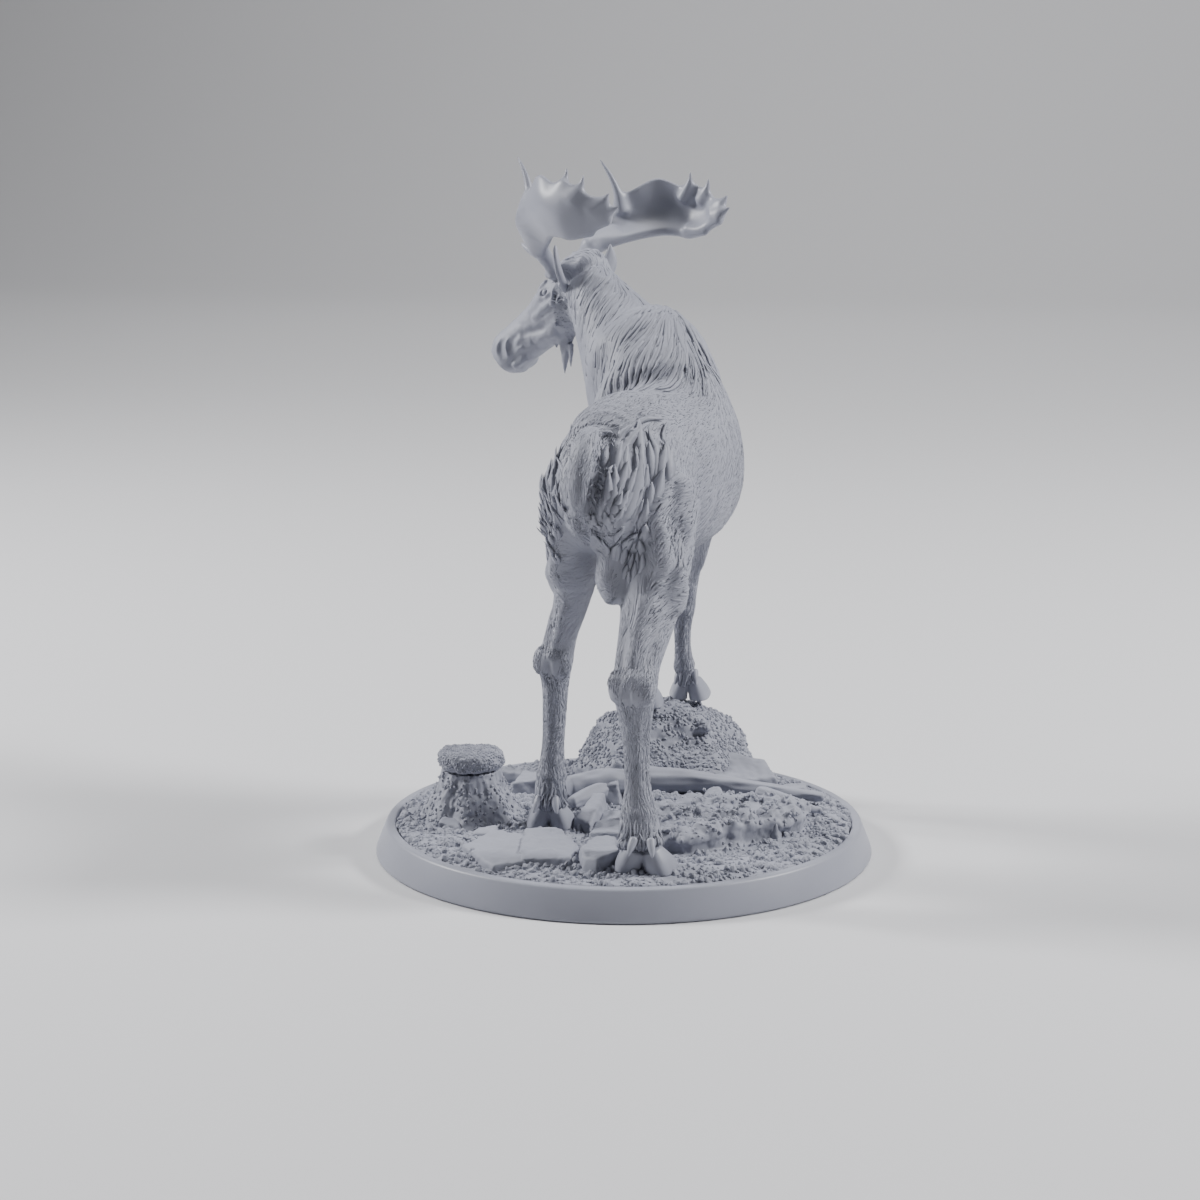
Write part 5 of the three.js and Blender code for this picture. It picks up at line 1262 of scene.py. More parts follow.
def inField(body, p, look):
    # 1 inside a field of leaf-shaped locks, 0 outside it
    inner = np.interp(p[:, 2], *np.array(look["inner"]).T)
    outer = np.interp(p[:, 2], *np.array(look["outer"]).T)
    low, high = look["inner"][0][0], look["inner"][-1][0]
    normals = clayNormal(body, p, 0.8)
    rear = (normals[:, 1] < -0.4) & (normals[:, 2] > -0.42)
    inside = (p[:, 0] > inner) & (p[:, 0] < outer) & (p[:, 2] > low) & (p[:, 2] < high) & rear
    return inside.astype(float)


def makeLeaves(body, bodyMesh, lie, material):
    rng = np.random.default_rng(37)
    for label, look in leafFields.items():
        low, high = look["inner"][0][0], look["inner"][-1][0]
        roots = []
        for band in range(5):
            first, last = mix(low, high, band / 5), mix(low, high, (band + 1) / 5)
            spacing = 0.92 * mix(*look["wide"], (band + 0.5) / 5)
            roots.append(spotsOn(*bodyMesh, spacing, rng, lambda p: inField(body, p, look)
                                 * (p[:, 2] >= first) * (p[:, 2] < last)))
        roots = np.concatenate(roots)
        k = (roots[:, 2] - low) / (high - low)
        long = mix(*look["long"], k) * rng.uniform(0.75, 1.2, len(roots))
        wide = mix(*look["wide"], k) * rng.uniform(0.75, 1.2, len(roots))
        way = np.array(look["way"])
        centres, outs = growTufts(body, lie, roots, leafLocks, rng, long,
                                  lambda p: np.repeat(way[None], len(p), 0))
        coatPiece(f"leafLocks_{label}", body, roots, centres, outs, leafLocks, wide, material, True)


def makeMane(skins, lie, material):
    # skins pairs each clay with its mesh, and a tuft follows the clay it is rooted on
    rng = np.random.default_rng(17)
    for name, look in (("maneHair", maneHair), ("maneLocks", maneLocks)):
        for label, clay, mesh in skins:
            roots = spotsOn(*mesh, look["spacing"], rng,
                            lambda p: np.where(inMane(p, partAt(clay, p)), 1.0, 0.0), clay)
            way, out = lieAt(lie, roots), clayNormal(clay, roots, 0.8)
            onTop = (way * out).sum(1) < 0.5
            size = maneSize(roots, np.linalg.norm(np.cross(way, out), axis=1))
            roots, size = roots[onTop], size[onTop]
            centres, outs = growTufts(clay, lie, roots, look, rng, size)
            wide = look["wide"] * (0.3 + 0.7 * size) * rng.uniform(0.6, 1.4, len(roots))
            coatPiece(f"{name}_{label}", clay, roots, centres, outs, look, wide, material)


bareKnobs = [(np.array(p), reach) for p, reach in [
    ((4.5, -19.0, 20.6), 1.2), ((2.9, -17.9, 20.4), 1.2), ((-5.7, -8.1, 20.4), 1.1)]]


def makeFaceFur(face, faceMesh, lie, material):
    rng = np.random.default_rng(27)

    def wanted(p):
        d = (p - poll) @ noseWay
        r = (p - poll) @ browWay
        eyes = [skullPoint(eyeShape["along"], side, eyeShape["rise"]) for side in (-2.4, 2.4)]
        near, other = (np.linalg.norm(p - eye, axis=1) < 1.0 for eye in eyes)
        ahead = (p - neckCut["point"]) @ neckCut["way"] > -0.3
        bare = near | other | ~ahead | (d < 2.0)
        return np.where(bare, 0.0, 1 - smoothStep(3.6, 5.4, d + 0.3 * r))

    roots = spotsOn(*faceMesh, faceFur["spacing"], rng, wanted, face)
    d = (roots - poll) @ noseWay
    size = 1.25 - 0.8 * smoothStep(2.5, 10.0, d)
    centres, outs = growTufts(face, lie, roots, faceFur, rng, size)
    wide = faceFur["wide"] * (0.5 + 0.5 * size) * rng.uniform(0.8, 1.25, len(roots))
    coatPiece("furHead", face, roots, centres, outs, faceFur, wide, material)


# the base and its scenery, laid out in their own frame: x to the right and y away

layTurn = math.radians(12)
soilLook = {"level": 3.25, "radius": 22.78, "relief": 0.16, "rings": 64, "sectors": 400,
            "lumps": [(2.6, 0.16), (1.1, 0.1), (0.5, 0.06)]}
rimProfile = [[0, 0], [24.6, 0], [24.82, 0.03], [24.95, 0.1], [25, 0.2], [24.99, 0.32], [24.3, 2.1],
              [24.0, 2.83], [23.93, 2.96], [23.8, 3.05], [23.66, 3.07], [23.2, 3.07], [23.09, 3.04],
              [23.02, 2.97], [23.0, 2.86], [23.0, 2.5], [0, 2.5]]


def lay(points):
    points = np.asarray(points, float)
    c, s = math.cos(layTurn), math.sin(layTurn)
    x, y = points[..., 0], points[..., 1]
    return np.stack([x * c - y * s, x * s + y * c, points[..., 2]], -1)


def latheMesh(profile, sides, centre=(0, 0, 0)):
    profile = np.array(profile, float)
    turns = np.linspace(0, 2 * np.pi, sides, endpoint=False)
    inner = profile[1:-1]
    grid = np.stack([np.outer(inner[:, 0], np.cos(turns)), np.outer(inner[:, 0], np.sin(turns)),
                     np.outer(inner[:, 1], np.ones(sides))], -1).reshape(-1, 3)
    points = np.concatenate([grid, [[0, 0, profile[0, 1]], [0, 0, profile[-1, 1]]]]) + centre
    i = np.arange(sides)
    j = (i + 1) % sides
    quads = [np.stack([r * sides + i, r * sides + j, (r + 1) * sides + j, (r + 1) * sides + i], -1)
             for r in range(len(inner) - 1)]
    low, top, last = len(grid), len(grid) + 1, (len(inner) - 1) * sides
    caps = np.concatenate([np.stack([j, i, np.full(sides, low)], -1),
                           np.stack([last + i, last + j, np.full(sides, top)], -1)])
    return points, [np.concatenate(quads), caps]


def lumpy(points, ways, lumps, seed=0):
    # moves points along ways by noise of the sizes and heights given
    shift = np.zeros(len(points))
    for n, (size, height) in enumerate(lumps):
        shift += height * latticeNoise(points, size, seed + n)
    return points + ways * shift[:, None]


def soilHeight(x, y):
    wave = np.sin(0.55 * x + 1.3) * np.cos(0.47 * y) + 0.5 * np.sin(0.9 * y - 0.4 * x)
    return soilLook["level"] + soilLook["relief"] * wave


def makeSoil(material):
    look = soilLook
    rings, sectors = look["rings"], look["sectors"]
    turns = np.linspace(0, 2 * np.pi, sectors, endpoint=False)
    reach = look["radius"] * (np.arange(1, rings + 1) / rings)
    x, y = np.outer(reach, np.cos(turns)).ravel(), np.outer(reach, np.sin(turns)).ravel()
    edge = smoothStep(look["radius"] - 1.1, look["radius"], np.repeat(reach, sectors))
    flat = np.stack([x, y, soilHeight(x, y)], -1)
    grid = lumpy(flat, up[None] * (1 - 0.85 * edge[:, None]), look["lumps"], 40)
    grid[:, 2] = mix(grid[:, 2], 2.96, edge)
    skirt = np.stack([look["radius"] * np.cos(turns), look["radius"] * np.sin(turns),
                      np.full(sectors, 2.55)], -1)
    points = np.concatenate([grid, skirt, [[0, 0, look["level"]], [0, 0, 2.55]]])
    i = np.arange(sectors)
    j = (i + 1) % sectors
    quads = [np.stack([r * sectors + i, (r + 1) * sectors + i, (r + 1) * sectors + j,
                       r * sectors + j], -1) for r in range(rings)]
    under = rings * sectors
    crown = under + sectors
    caps = np.concatenate([np.stack([i, j, np.full(sectors, crown)], -1),
                           np.stack([under + j, under + i, np.full(sectors, crown + 1)], -1)])
    return meshPiece("soil", points, [np.concatenate(quads), caps], material,
                     ["ground"])


def joinFaces(parts):
    # joins (points, [quads, triangles]) meshes into one
    points, quads, caps, start = [], [], [], 0
    for p, (q, c) in parts:
        points.append(p)
        quads.append(q + start)
        caps.append(c + start)
        start += len(p)
    return np.concatenate(points), [np.concatenate(quads), np.concatenate(caps)]


# rock and earth, cut from clay in the scenery's frame

boulderShape = {"at": [3.8, 15.5, 3.6], "half": [10.4, 7.3, 8.3], "square": 2.5, "pitch": 0.2,
                "layers": [(3.2, 0.75), (1.5, 0.42), (0.7, 0.26)], "flat": 0.5, "seed": 90,
                "chips": [([-0.7, -0.3, 0.6], 7.4), ([0.8, -0.4, 0.45], 8.3), ([0.1, -0.75, 0.65], 6.6),
                          ([-0.2, 0.3, 0.93], 7.9), ([0.5, -0.1, 0.86], 8.2), ([-0.9, 0.1, 0.42], 8.6)]}
# corners seen from above, height of the top, and how the top leans to the right and away
slabShapes = [
    {"corners": [(-15.6, -12.5), (-12.4, -18.8), (-9.4, -17.8), (-9.0, -9.0), (-13.0, -8.6)],
     "top": 3.95, "lean": (0.05, 0.03)},
    {"corners": [(-9.9, -17.6), (-5.2, -16.4), (-4.4, -12.4), (-6.0, -8.6), (-9.8, -8.8)],
     "top": 4.15, "lean": (-0.05, 0.05)},
    {"corners": [(-4.2, -14.6), (-3.9, -18.4), (-2.6, -19.2), (-0.6, -17.0), (-0.9, -11.6),
                 (-2.8, -11.2)], "top": 4.45, "lean": (0.06, -0.02)},
    {"corners": [(-4.8, -5.0), (-3.5, -6.6), (-1.9, -0.9), (-3.1, 0.2)], "top": 5.0, "lean": (0.1, 0.2)},
    {"corners": [(-3.4, -8.5), (0.2, -9.2), (0.6, -2.0), (-2.0, -1.5)], "top": 4.1, "lean": (0.06, 0.02)},
    {"corners": [(4.0, 8.0), (9.0, 7.4), (15.8, 8.8), (15.2, 11.8), (8.0, 14.0), (4.4, 11.6)],
     "top": 5.7, "lean": (-0.05, 0.34)},
    {"corners": [(7.8, -1.8), (9.3, -3.8), (10.1, -2.2), (9.8, 0.8), (8.4, 1.4)], "top": 5.5,
     "lean": (0.45, 0.1)},
    {"corners": [(10.2, -3.4), (11.3, -3.6), (11.9, -1.6), (10.9, 0.0), (10.1, -0.8)], "top": 5.1,
     "lean": (-0.35, 0.15)},
    {"corners": [(12.0, -3.8), (13.0, -4.8), (13.9, -3.1), (13.5, -1.0), (12.3, -0.8)], "top": 5.1,
     "lean": (0.2, 0.3)},
    {"corners": [(12.4, -8.2), (14.8, -9.0), (15.6, -7.2), (14.2, -6.0), (12.6, -6.4)], "top": 4.9,
     "lean": (-0.2, -0.15)},
    {"corners": [(-2.9, 4.2), (-0.6, 4.0), (-0.2, 6.6), (-2.6, 7.0)], "top": 5.5, "lean": (0.2, 0.1)},
    {"corners": [(-14.9, -8.4), (-12.6, -8.6), (-12.4, -6.6), (-14.4, -6.4)], "top": 4.0,
     "lean": (0.1, 0.1)},
    {"corners": [(-18.4, -5.4), (-16.4, -5.8), (-16.0, -3.9), (-17.8, -3.5)], "top": 4.0,
     "lean": (-0.1, 0.1)},
    {"corners": [(16.2, 5.6), (18.9, 5.8), (19.0, 8.0), (16.6, 8.2)], "top": 4.4, "lean": (0.1, -0.1)},
    {"corners": [(-11.6, 8.2), (-8.0, 8.0), (-7.4, 10.6), (-10.4, 11.4)], "top": 4.8,
     "lean": (0.1, 0.1)},
    {"corners": [(-13.2, 12.2), (-10.8, 11.8), (-10.4, 14.2), (-12.8, 14.6)], "top": 4.4,
     "lean": (-0.1, -0.1)}]
slabLook = {"pitch": 0.175, "batter": 0.2, "round": 0.14, "rough": [(1.6, 0.16), (0.6, 0.09), (0.3, 0.04)]}
bankShape = {"edge": [(0.9, -11.8), (3.0, -14.2), (6.4, -14.8), (9.6, -13.0), (12.2, -12.0),
                      (15.4, -9.8), (18.4, -7.2), (18.8, -2.6), (14.6, 1.0), (8.0, 2.6), (1.6, 1.4),
                      (-0.2, -5.0)],
             "pitch": 0.2, "ground": 2.9, "rise": 2.5, "slope": 1.6, "undercut": 2.2,
             "rough": [(2.6, 0.6), (1.2, 0.6), (0.6, 0.42), (0.35, 0.18)], "seed": 80}


def scenerySpots(clay):
    # every point of a clay in the scenery's frame
    axes = [clay["low"][i] + clay["pitch"] * np.arange(clay["values"].shape[i]) for i in range(3)]
    x, y, z = np.meshgrid(*axes, indexing="ij")
    c, s = math.cos(layTurn), math.sin(layTurn)
    return np.stack([x * c + y * s, y * c - x * s, z], -1)


def clayOver(corners, top, pitch, margin=1.0):
    # clay that holds the corners, given in the scenery's frame
    spots = lay([(*corner, 0) for corner in corners])
    low, high = spots.min(0) - margin, spots.max(0) + margin
    return newClay([low[0], low[1], 2.2], [high[0], high[1], top + margin], pitch)


def roundedMax(a, b, soft):
    h = np.clip(0.5 + 0.5 * (a - b) / soft, 0, 1)
    return b * (1 - h) + a * h + soft * h * (1 - h)


def edgePlanes(corners, p):
    # distance outside each edge of a polygon seen from above, its corners counter-clockwise
    for a, b in zip(corners, corners[1:] + corners[:1]):
        d = unit(np.array([b[1] - a[1], a[0] - b[0]]))
        yield (p[..., 0] - a[0]) * d[0] + (p[..., 1] - a[1]) * d[1]


def clayMeshOf(clay, values):
    clay["values"] = values.astype(np.float32)
    for face in (0, -1):
        clay["values"][face], clay["values"][:, face], clay["values"][:, :, face] = 1, 1, 1
    return claySurface(clay)


def slabStone(shape, seed):
    look = slabLook
    corners = shape["corners"]
    clay = clayOver(corners, shape["top"] + 1.2, look["pitch"])
    p = scenerySpots(clay)
    middle = np.mean(corners, axis=0)
    normal = unit(np.array([-shape["lean"][0], -shape["lean"][1], 1]))
    values = (p - np.array([*middle, shape["top"]])) @ normal
    for outside in edgePlanes(corners, p):
        side = (outside + look["batter"] * (p[..., 2] - shape["top"])) / math.hypot(1, look["batter"])
        values = roundedMax(values, side, look["round"])
    values = np.maximum(values, 2.55 - p[..., 2])
    for n, (size, height) in enumerate(look["rough"]):
        values = values + height * latticeNoise(p, size, seed + n)
    return clayMeshOf(clay, values)


def bankClay():
    look = bankShape
    clay = clayOver(look["edge"], look["ground"] + look["rise"], look["pitch"], 1.6)
    p = scenerySpots(clay)
    outside = np.full(p.shape[:-1], -99.0)
    for gap in edgePlanes(look["edge"], p):
        outside = np.maximum(outside, gap)
    inside = smoothStep(0, look["slope"], -outside + 0.7 * latticeNoise(p, 1.8, 79))
    values = p[..., 2] - look["ground"] - look["rise"] * inside ** 0.5
    values += look["undercut"] * (inside < 0.75) * np.exp(-((p[..., 2] - 3.6) / 0.6) ** 2)
    for n, (size, height) in enumerate(look["rough"]):
        values += height * latticeNoise(p, size, look["seed"] + n)
    rim = np.hypot(p[..., 0], p[..., 1]) - 22.2
    values = values + 2.5 * np.maximum(outside, 0) + 2.0 * np.maximum(rim, 0)
    values = np.maximum(values * 0.7, 2.6 - p[..., 2])
    return clayMeshOf(clay, values)


def boulderClay():
    look = boulderShape
    half = np.array(look["half"])
    at = np.array(look["at"])
    clay = clayOver([(at[0] + sx * half[0], at[1] + sy * half[1]) for sx in (-1, 1) for sy in (-1, 1)],
                    at[2] + half[2], look["pitch"])
    p = scenerySpots(clay)
    q = p - at
    reach = np.maximum((np.abs(q / half) ** look["square"]).sum(-1) ** (1 / look["square"]), 1e-3)
    size = np.linalg.norm(q, axis=-1)
    values = size - size / reach
    for way, far in look["chips"]:
        values = roundedMax(values, q @ unit(np.array(way)) - far, 0.25)
    strata = p * np.array([look["flat"], look["flat"], 1.3])
    for n, (scale, height) in enumerate(look["layers"]):
        values += height * latticeNoise(strata, scale, look["seed"] + n)
    values += 0.1 * latticeNoise(p, 0.35, 99) + 0.35
    values = np.maximum(values, 2.6 - p[..., 2])
    return clayMeshOf(clay, values)


def makeStones(material):
    parts = [slabStone(shape, 60 + 3 * n) for n, shape in enumerate(slabShapes)]
    points, quads = joinMeshes(parts)
    meshPiece("stones", points, [quads], material)
    points, quads = bankClay()
    bank = meshPiece("earthBank", points, [quads], material)
    points, quads = boulderClay()
    boulder = meshPiece("rock", points, [quads], material, ["boulder"])
    return bank, boulder


# stump, moss and fallen branch

stumpShape = {"at": [-15.4, 0.2], "radius": 2.95, "foot": 5.6, "top": 8.0, "ridges": 8, "sides": 240,
              "levels": 60}
capProfile = [[0, 0], [2.4, 0], [2.95, 0.02], [3.15, 0.16], [3.3, 0.5], [3.32, 0.9], [3.25, 1.25],
              [3.05, 1.5], [2.6, 1.62], [1.9, 1.68], [0.9, 1.72], [0.0, 1.74]]


def makeStump(material):
    shape = stumpShape
    levels = np.linspace(0, 1, shape["levels"])
    turns = np.linspace(0, 2 * np.pi, shape["sides"], endpoint=False)
    flare = shape["radius"] + (shape["foot"] - shape["radius"]) * (1 - levels) ** 1.35
    rough = mix(0.07, 0.03, levels)
    wave = 1 + rough[:, None] * np.cos(shape["ridges"] * turns + 0.6 * np.sin(3 * turns))
    reach = flare[:, None] * wave
    z = mix(2.55, shape["top"] - 0.02, levels)[:, None] * np.ones(shape["sides"])
    points = np.stack([reach * np.cos(turns), reach * np.sin(turns), z], -1).reshape(-1, 3)
    around = np.tile(turns, shape["levels"])
    outwards = np.stack([np.cos(around), np.sin(around), 0 * around], -1)
    bark = points * np.array([1, 1, 0.16])
    points = points - outwards * (0.22 * np.abs(latticeNoise(bark, 0.45, 2)) + 0.05)[:, None]
    points = lumpy(points, outwards, [(1.8, 0.22), (0.5, 0.07)], 50)
    centre = np.array([*shape["at"], 0])
    ends = np.array([[0, 0, 2.55], [0, 0, shape["top"] - 0.02]])
    points = lay(np.concatenate([points, ends]) + centre)
    sides, last = shape["sides"], (shape["levels"] - 1) * shape["sides"]
    i = np.arange(sides)
    j = (i + 1) % sides
    quads = [np.stack([r * sides + i, r * sides + j, (r + 1) * sides + j, (r + 1) * sides + i], -1)
             for r in range(shape["levels"] - 1)]
    low, top = last + sides, last + sides + 1
    caps = np.concatenate([np.stack([j, i, np.full(sides, low)], -1),
                           np.stack([last + i, last + j, np.full(sides, top)], -1)])
    stump = meshPiece("oldStump", points, [np.concatenate(quads), caps], material,
                      ["stump"])
    rounded = along(capProfile, np.linspace(0, len(capProfile) - 1, 60))
    rounded[:, 0] = np.maximum(rounded[:, 0], 0)
    points, faces = latheMesh(rounded, 150)
    around = unit(points * np.array([0.6, 0.6, 1.0]) + np.array([0, 0, -0.4]))
    points = lumpy(points, around, [(1.3, 0.14), (0.5, 0.1), (0.28, 0.06)], 54)
    points[:, 2] = np.maximum(points[:, 2], 0)
    points = lay(points + centre + np.array([0, 0, stumpShape["top"] + 0.22]))
    moss = meshPiece("mossCap", points, faces, material, ["stump_moss"])
    return stump, moss


branchRows = [[-5.8, 4.6, 4.9, 1.15], [-2.2, 5.7, 5.0, 1.4], [1.8, 6.5, 5.0, 1.45],
              [7.0, 6.4, 4.95, 1.3], [12.0, 5.2, 4.7, 1.0], [16.5, 3.9, 4.5, 0.75],
              [20.6, 2.9, 4.2, 0.5]]
forkRows = [[13.8, 4.4, 4.4, 0.75], [17.0, 1.2, 4.2, 0.6], [20.0, -1.2, 3.9, 0.4]]
stubRows = [[-5.4, 0.8, 4.2, 0.62], [-3.4, 3.0, 4.5, 0.75], [-1.0, 5.4, 4.7, 0.8]]


def branchMesh(rows, sides=48, steps=28, tip=0.3):
    # a round limb with grooves that run along it, rounded at both ends
    last = len(rows) - 1
    count = last * steps
    places = np.linspace(0, last, count + 1)
    line = along([list(lay(r[:3])) + [r[3]] for r in rows], places)
    loft = loftOf([list(lay(r[:3])) + [r[3]] * 3 for r in rows], side=(0, 0, 1), power=2)
    forward, right, rise = framesAt(loft, places)
    turns = np.linspace(0, 2 * np.pi, sides, endpoint=False)
    ends = np.minimum(np.arange(count + 1), np.arange(count, -1, -1)) / 5
    full = np.sqrt(1 - np.clip(1 - ends, 0, 1) ** 2) * (1 - tip * (ends < 0.2))
    around = np.cos(turns)[None, :, None] * right[:, None] + np.sin(turns)[None, :, None] * rise[:, None]
    flow = np.stack([places * 5.5 * np.ones((sides, 1)), np.cos(turns)[:, None] * line[:, 3],
                     np.sin(turns)[:, None] * line[:, 3]], -1).transpose(1, 0, 2)
    groove = latticeNoise(flow * np.array([0.2, 1, 1]), 0.45, 4)
    knots = latticeNoise(flow, 2.2, 6)
    reach = line[:, 3][:, None] * (0.92 + 0.16 * knots) + 0.13 * groove
    grid = line[:, None, :3] + around * (reach * np.maximum(full, 0.02)[:, None])[..., None]
    points = np.concatenate([grid.reshape(-1, 3), [line[0, :3], line[-1, :3]]])
    i = np.arange(sides)
    j = (i + 1) % sides
    quads = [np.stack([r * sides + i, r * sides + j, (r + 1) * sides + j, (r + 1) * sides + i], -1)
             for r in range(count)]
    low, top, end = len(points) - 2, len(points) - 1, count * sides
    caps = np.concatenate([np.stack([j, i, np.full(sides, low)], -1),
                           np.stack([end + i, end + j, np.full(sides, top)], -1)])
    return points, [np.concatenate(quads), caps]


def makeBranch(material):
    points, faces = joinFaces([branchMesh(branchRows), branchMesh(forkRows), branchMesh(stubRows)])
    meshPiece("branch", points, faces, material, ["log"])


# grains, scattered by Geometry Nodes

grainLook = {
    "gravel": {"density": 1.25e6, "low": 0.00022, "high": 0.0005, "seed": 3, "subdivisions": 2},
    "grit": {"density": 4.2e6, "low": 0.00012, "high": 0.00026, "seed": 5, "subdivisions": 1},
    "moss": {"density": 1.1e7, "low": 0.0001, "high": 0.0002, "seed": 7, "subdivisions": 1},
    "crust": {"density": 8.0e6, "low": 0.00013, "high": 0.00026, "seed": 9, "subdivisions": 1},
}


def makeScatterTree():
    tree = bpy.data.node_groups.new("scatterGrains", "GeometryNodeTree")
    sockets = tree.interface
    sockets.new_socket("Geometry", in_out="INPUT", socket_type="NodeSocketGeometry")
    for name, kind in (("Density", "NodeSocketFloat"), ("Low", "NodeSocketFloat"),
                       ("High", "NodeSocketFloat"), ("Seed", "NodeSocketInt"),
                       ("Steepest", "NodeSocketFloat"), ("Grain", "NodeSocketObject"),
                       ("Material", "NodeSocketMaterial")):
        sockets.new_socket(name, in_out="INPUT", socket_type=kind)
    sockets.new_socket("Geometry", in_out="OUTPUT", socket_type="NodeSocketGeometry")
    start, end = addNode(tree, "NodeGroupInput"), addNode(tree, "NodeGroupOutput")
    normal = addNode(tree, "GeometryNodeInputNormal")
    apart = addNode(tree, "ShaderNodeSeparateXYZ")
    steep = addNode(tree, "FunctionNodeCompare", data_type="FLOAT", operation="GREATER_THAN")
    points = addNode(tree, "GeometryNodeDistributePointsOnFaces")
    info = addNode(tree, "GeometryNodeObjectInfo")
    placed = addNode(tree, "GeometryNodeInstanceOnPoints")
    spin = addNode(tree, "FunctionNodeRandomValue", data_type="FLOAT_VECTOR")
    size = addNode(tree, "FunctionNodeRandomValue", data_type="FLOAT")
    spin.inputs["Max"].default_value = (2 * math.pi,) * 3
    real = addNode(tree, "GeometryNodeRealizeInstances")
    painted = addNode(tree, "GeometryNodeSetMaterial")
    link = tree.links.new
    link(normal.outputs["Normal"], apart.inputs["Vector"])
    link(apart.outputs["Z"], steep.inputs["A"])
    link(start.outputs["Steepest"], steep.inputs["B"])
    link(start.outputs["Geometry"], points.inputs["Mesh"])
    link(steep.outputs["Result"], points.inputs["Selection"])
    link(start.outputs["Density"], points.inputs["Density"])
    link(start.outputs["Seed"], points.inputs["Seed"])
    link(points.outputs["Points"], placed.inputs["Points"])
    link(start.outputs["Grain"], info.inputs["Object"])
    link(info.outputs["Geometry"], placed.inputs["Instance"])
    link(start.outputs["Low"], size.inputs[2])
    link(start.outputs["High"], size.inputs[3])
    link(start.outputs["Seed"], size.inputs["Seed"])
    link(spin.outputs[0], placed.inputs["Rotation"])
    link(size.outputs[1], placed.inputs["Scale"])
    link(placed.outputs["Instances"], real.inputs["Geometry"])
    link(real.outputs["Geometry"], painted.inputs["Geometry"])
    link(start.outputs["Material"], painted.inputs["Material"])
    link(painted.outputs["Geometry"], end.inputs["Geometry"])
    return tree


def makeGrainShape(name, subdivisions, seed):
    bpy.ops.mesh.primitive_ico_sphere_add(subdivisions=subdivisions, radius=1)
    grain = bpy.context.active_object
    grain.name = name
    spots = np.array([v.co for v in grain.data.vertices])
    reach = 1 + 0.35 * latticeNoise(spots, 0.9, seed)
    spots = spots * reach[:, None] * np.array([1.0, 0.8, 0.65])
    grain.data.vertices.foreach_set("co", spots.ravel())
    grain.data.update()
    return grain


def scatter(name, tree, surface, material, look, steepest, density=1.0):
    grain = makeGrainShape(name + "Grain", look["subdivisions"], look["seed"])
    holder = surface.copy()
    holder.data = surface.data.copy()
    holder.name = name + "Holder"
    bpy.context.scene.collection.objects.link(holder)
    change = holder.modifiers.new("scatter", "NODES")
    change.node_group = tree
    values = {"Density": look["density"] * density, "Low": look["low"], "High": look["high"],
              "Seed": look["seed"], "Steepest": steepest, "Grain": grain, "Material": material}
    for item in tree.interface.items_tree:
        if item.in_out == "INPUT" and item.name in values:
            change[item.identifier] = values[item.name]
    graph = bpy.context.evaluated_depsgraph_get()
    mesh = bpy.data.meshes.new_from_object(holder.evaluated_get(graph), depsgraph=graph)
    for used in (holder, grain):
        bpy.data.objects.remove(used)
    mesh.name = name
    piece = bpy.data.objects.new(name, mesh)
    bpy.context.scene.collection.objects.link(piece)
    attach(piece, "root")
    mesh.calc_loop_triangles()
    print(f"{name}: {len(mesh.loop_triangles)} triangles")


def makeBase(smooth, earth):
    points, faces = latheMesh(rimProfile, 360)
    meshPiece("baseRim", points, faces, smooth, ["base_disc"])
    soil = makeSoil(earth)
    bank, boulder = makeStones(earth)
    stump, moss = makeStump(earth)
    makeBranch(earth)
    tree = makeScatterTree()
    scatter("gravel", tree, soil, earth, grainLook["gravel"], 0.3)
    scatter("grit", tree, soil, earth, grainLook["grit"], 0.3)
    scatter("bankGravel", tree, bank, earth, grainLook["gravel"], 0.35, 0.3)
    scatter("bankGrit", tree, bank, earth, grainLook["grit"], 0.25, 0.5)
    scatter("stumpGrit", tree, stump, earth, grainLook["grit"], 0.2, 0.8)
    scatter("rockMoss", tree, boulder, earth, grainLook["crust"], 0.4)
    scatter("capMoss", tree, moss, earth, grainLook["moss"], -0.3, 2.0)


# materials

resinLook = {"colour": (0.300, 0.309, 0.365), "darkest": 0.93, "lightest": 1.07, "specular": 0.42,
             "reliefDistance": 0.00003}
# the finishes of the one resin, with the scale of their grain and the strength of its relief
finishes = {"resinCoat": {"roughness": 0.56, "grainScale": 2600, "bump": 0.35},
            "resinSmooth": {"roughness": 0.42, "grainScale": 1800, "bump": 0.18},
            "resinGround": {"roughness": 0.64, "grainScale": 3200, "bump": 0.6}}


def addNode(tree, kind, **values):
    node = tree.nodes.new(kind)
    for key, value in values.items():
        setattr(node, key, value)
    return node


def makeCastGrain():
    # fine pits of cast resin: gives a height and a slow change of tone
    group = bpy.data.node_groups.new("castGrain", "ShaderNodeTree")
    sockets = group.interface
    sockets.new_socket("Vector", in_out="INPUT", socket_type="NodeSocketVector")
    scale = sockets.new_socket("Scale", in_out="INPUT", socket_type="NodeSocketFloat")
    scale.default_value = 4000.0
    sockets.new_socket("Height", in_out="OUTPUT", socket_type="NodeSocketFloat")
    sockets.new_socket("Tone", in_out="OUTPUT", socket_type="NodeSocketFloat")
    start = addNode(group, "NodeGroupInput")
    end = addNode(group, "NodeGroupOutput")
    fine = addNode(group, "ShaderNodeTexNoise")
    fine.inputs["Detail"].default_value = 4.0
    fine.inputs["Roughness"].default_value = 0.6
    slow = addNode(group, "ShaderNodeTexNoise")
    slow.inputs["Scale"].default_value = 180.0
    slow.inputs["Detail"].default_value = 3.0
    group.links.new(start.outputs["Vector"], fine.inputs["Vector"])
    group.links.new(start.outputs["Scale"], fine.inputs["Scale"])
    group.links.new(start.outputs["Vector"], slow.inputs["Vector"])
    group.links.new(fine.outputs["Fac"], end.inputs["Height"])
    group.links.new(slow.outputs["Fac"], end.inputs["Tone"])
    return group


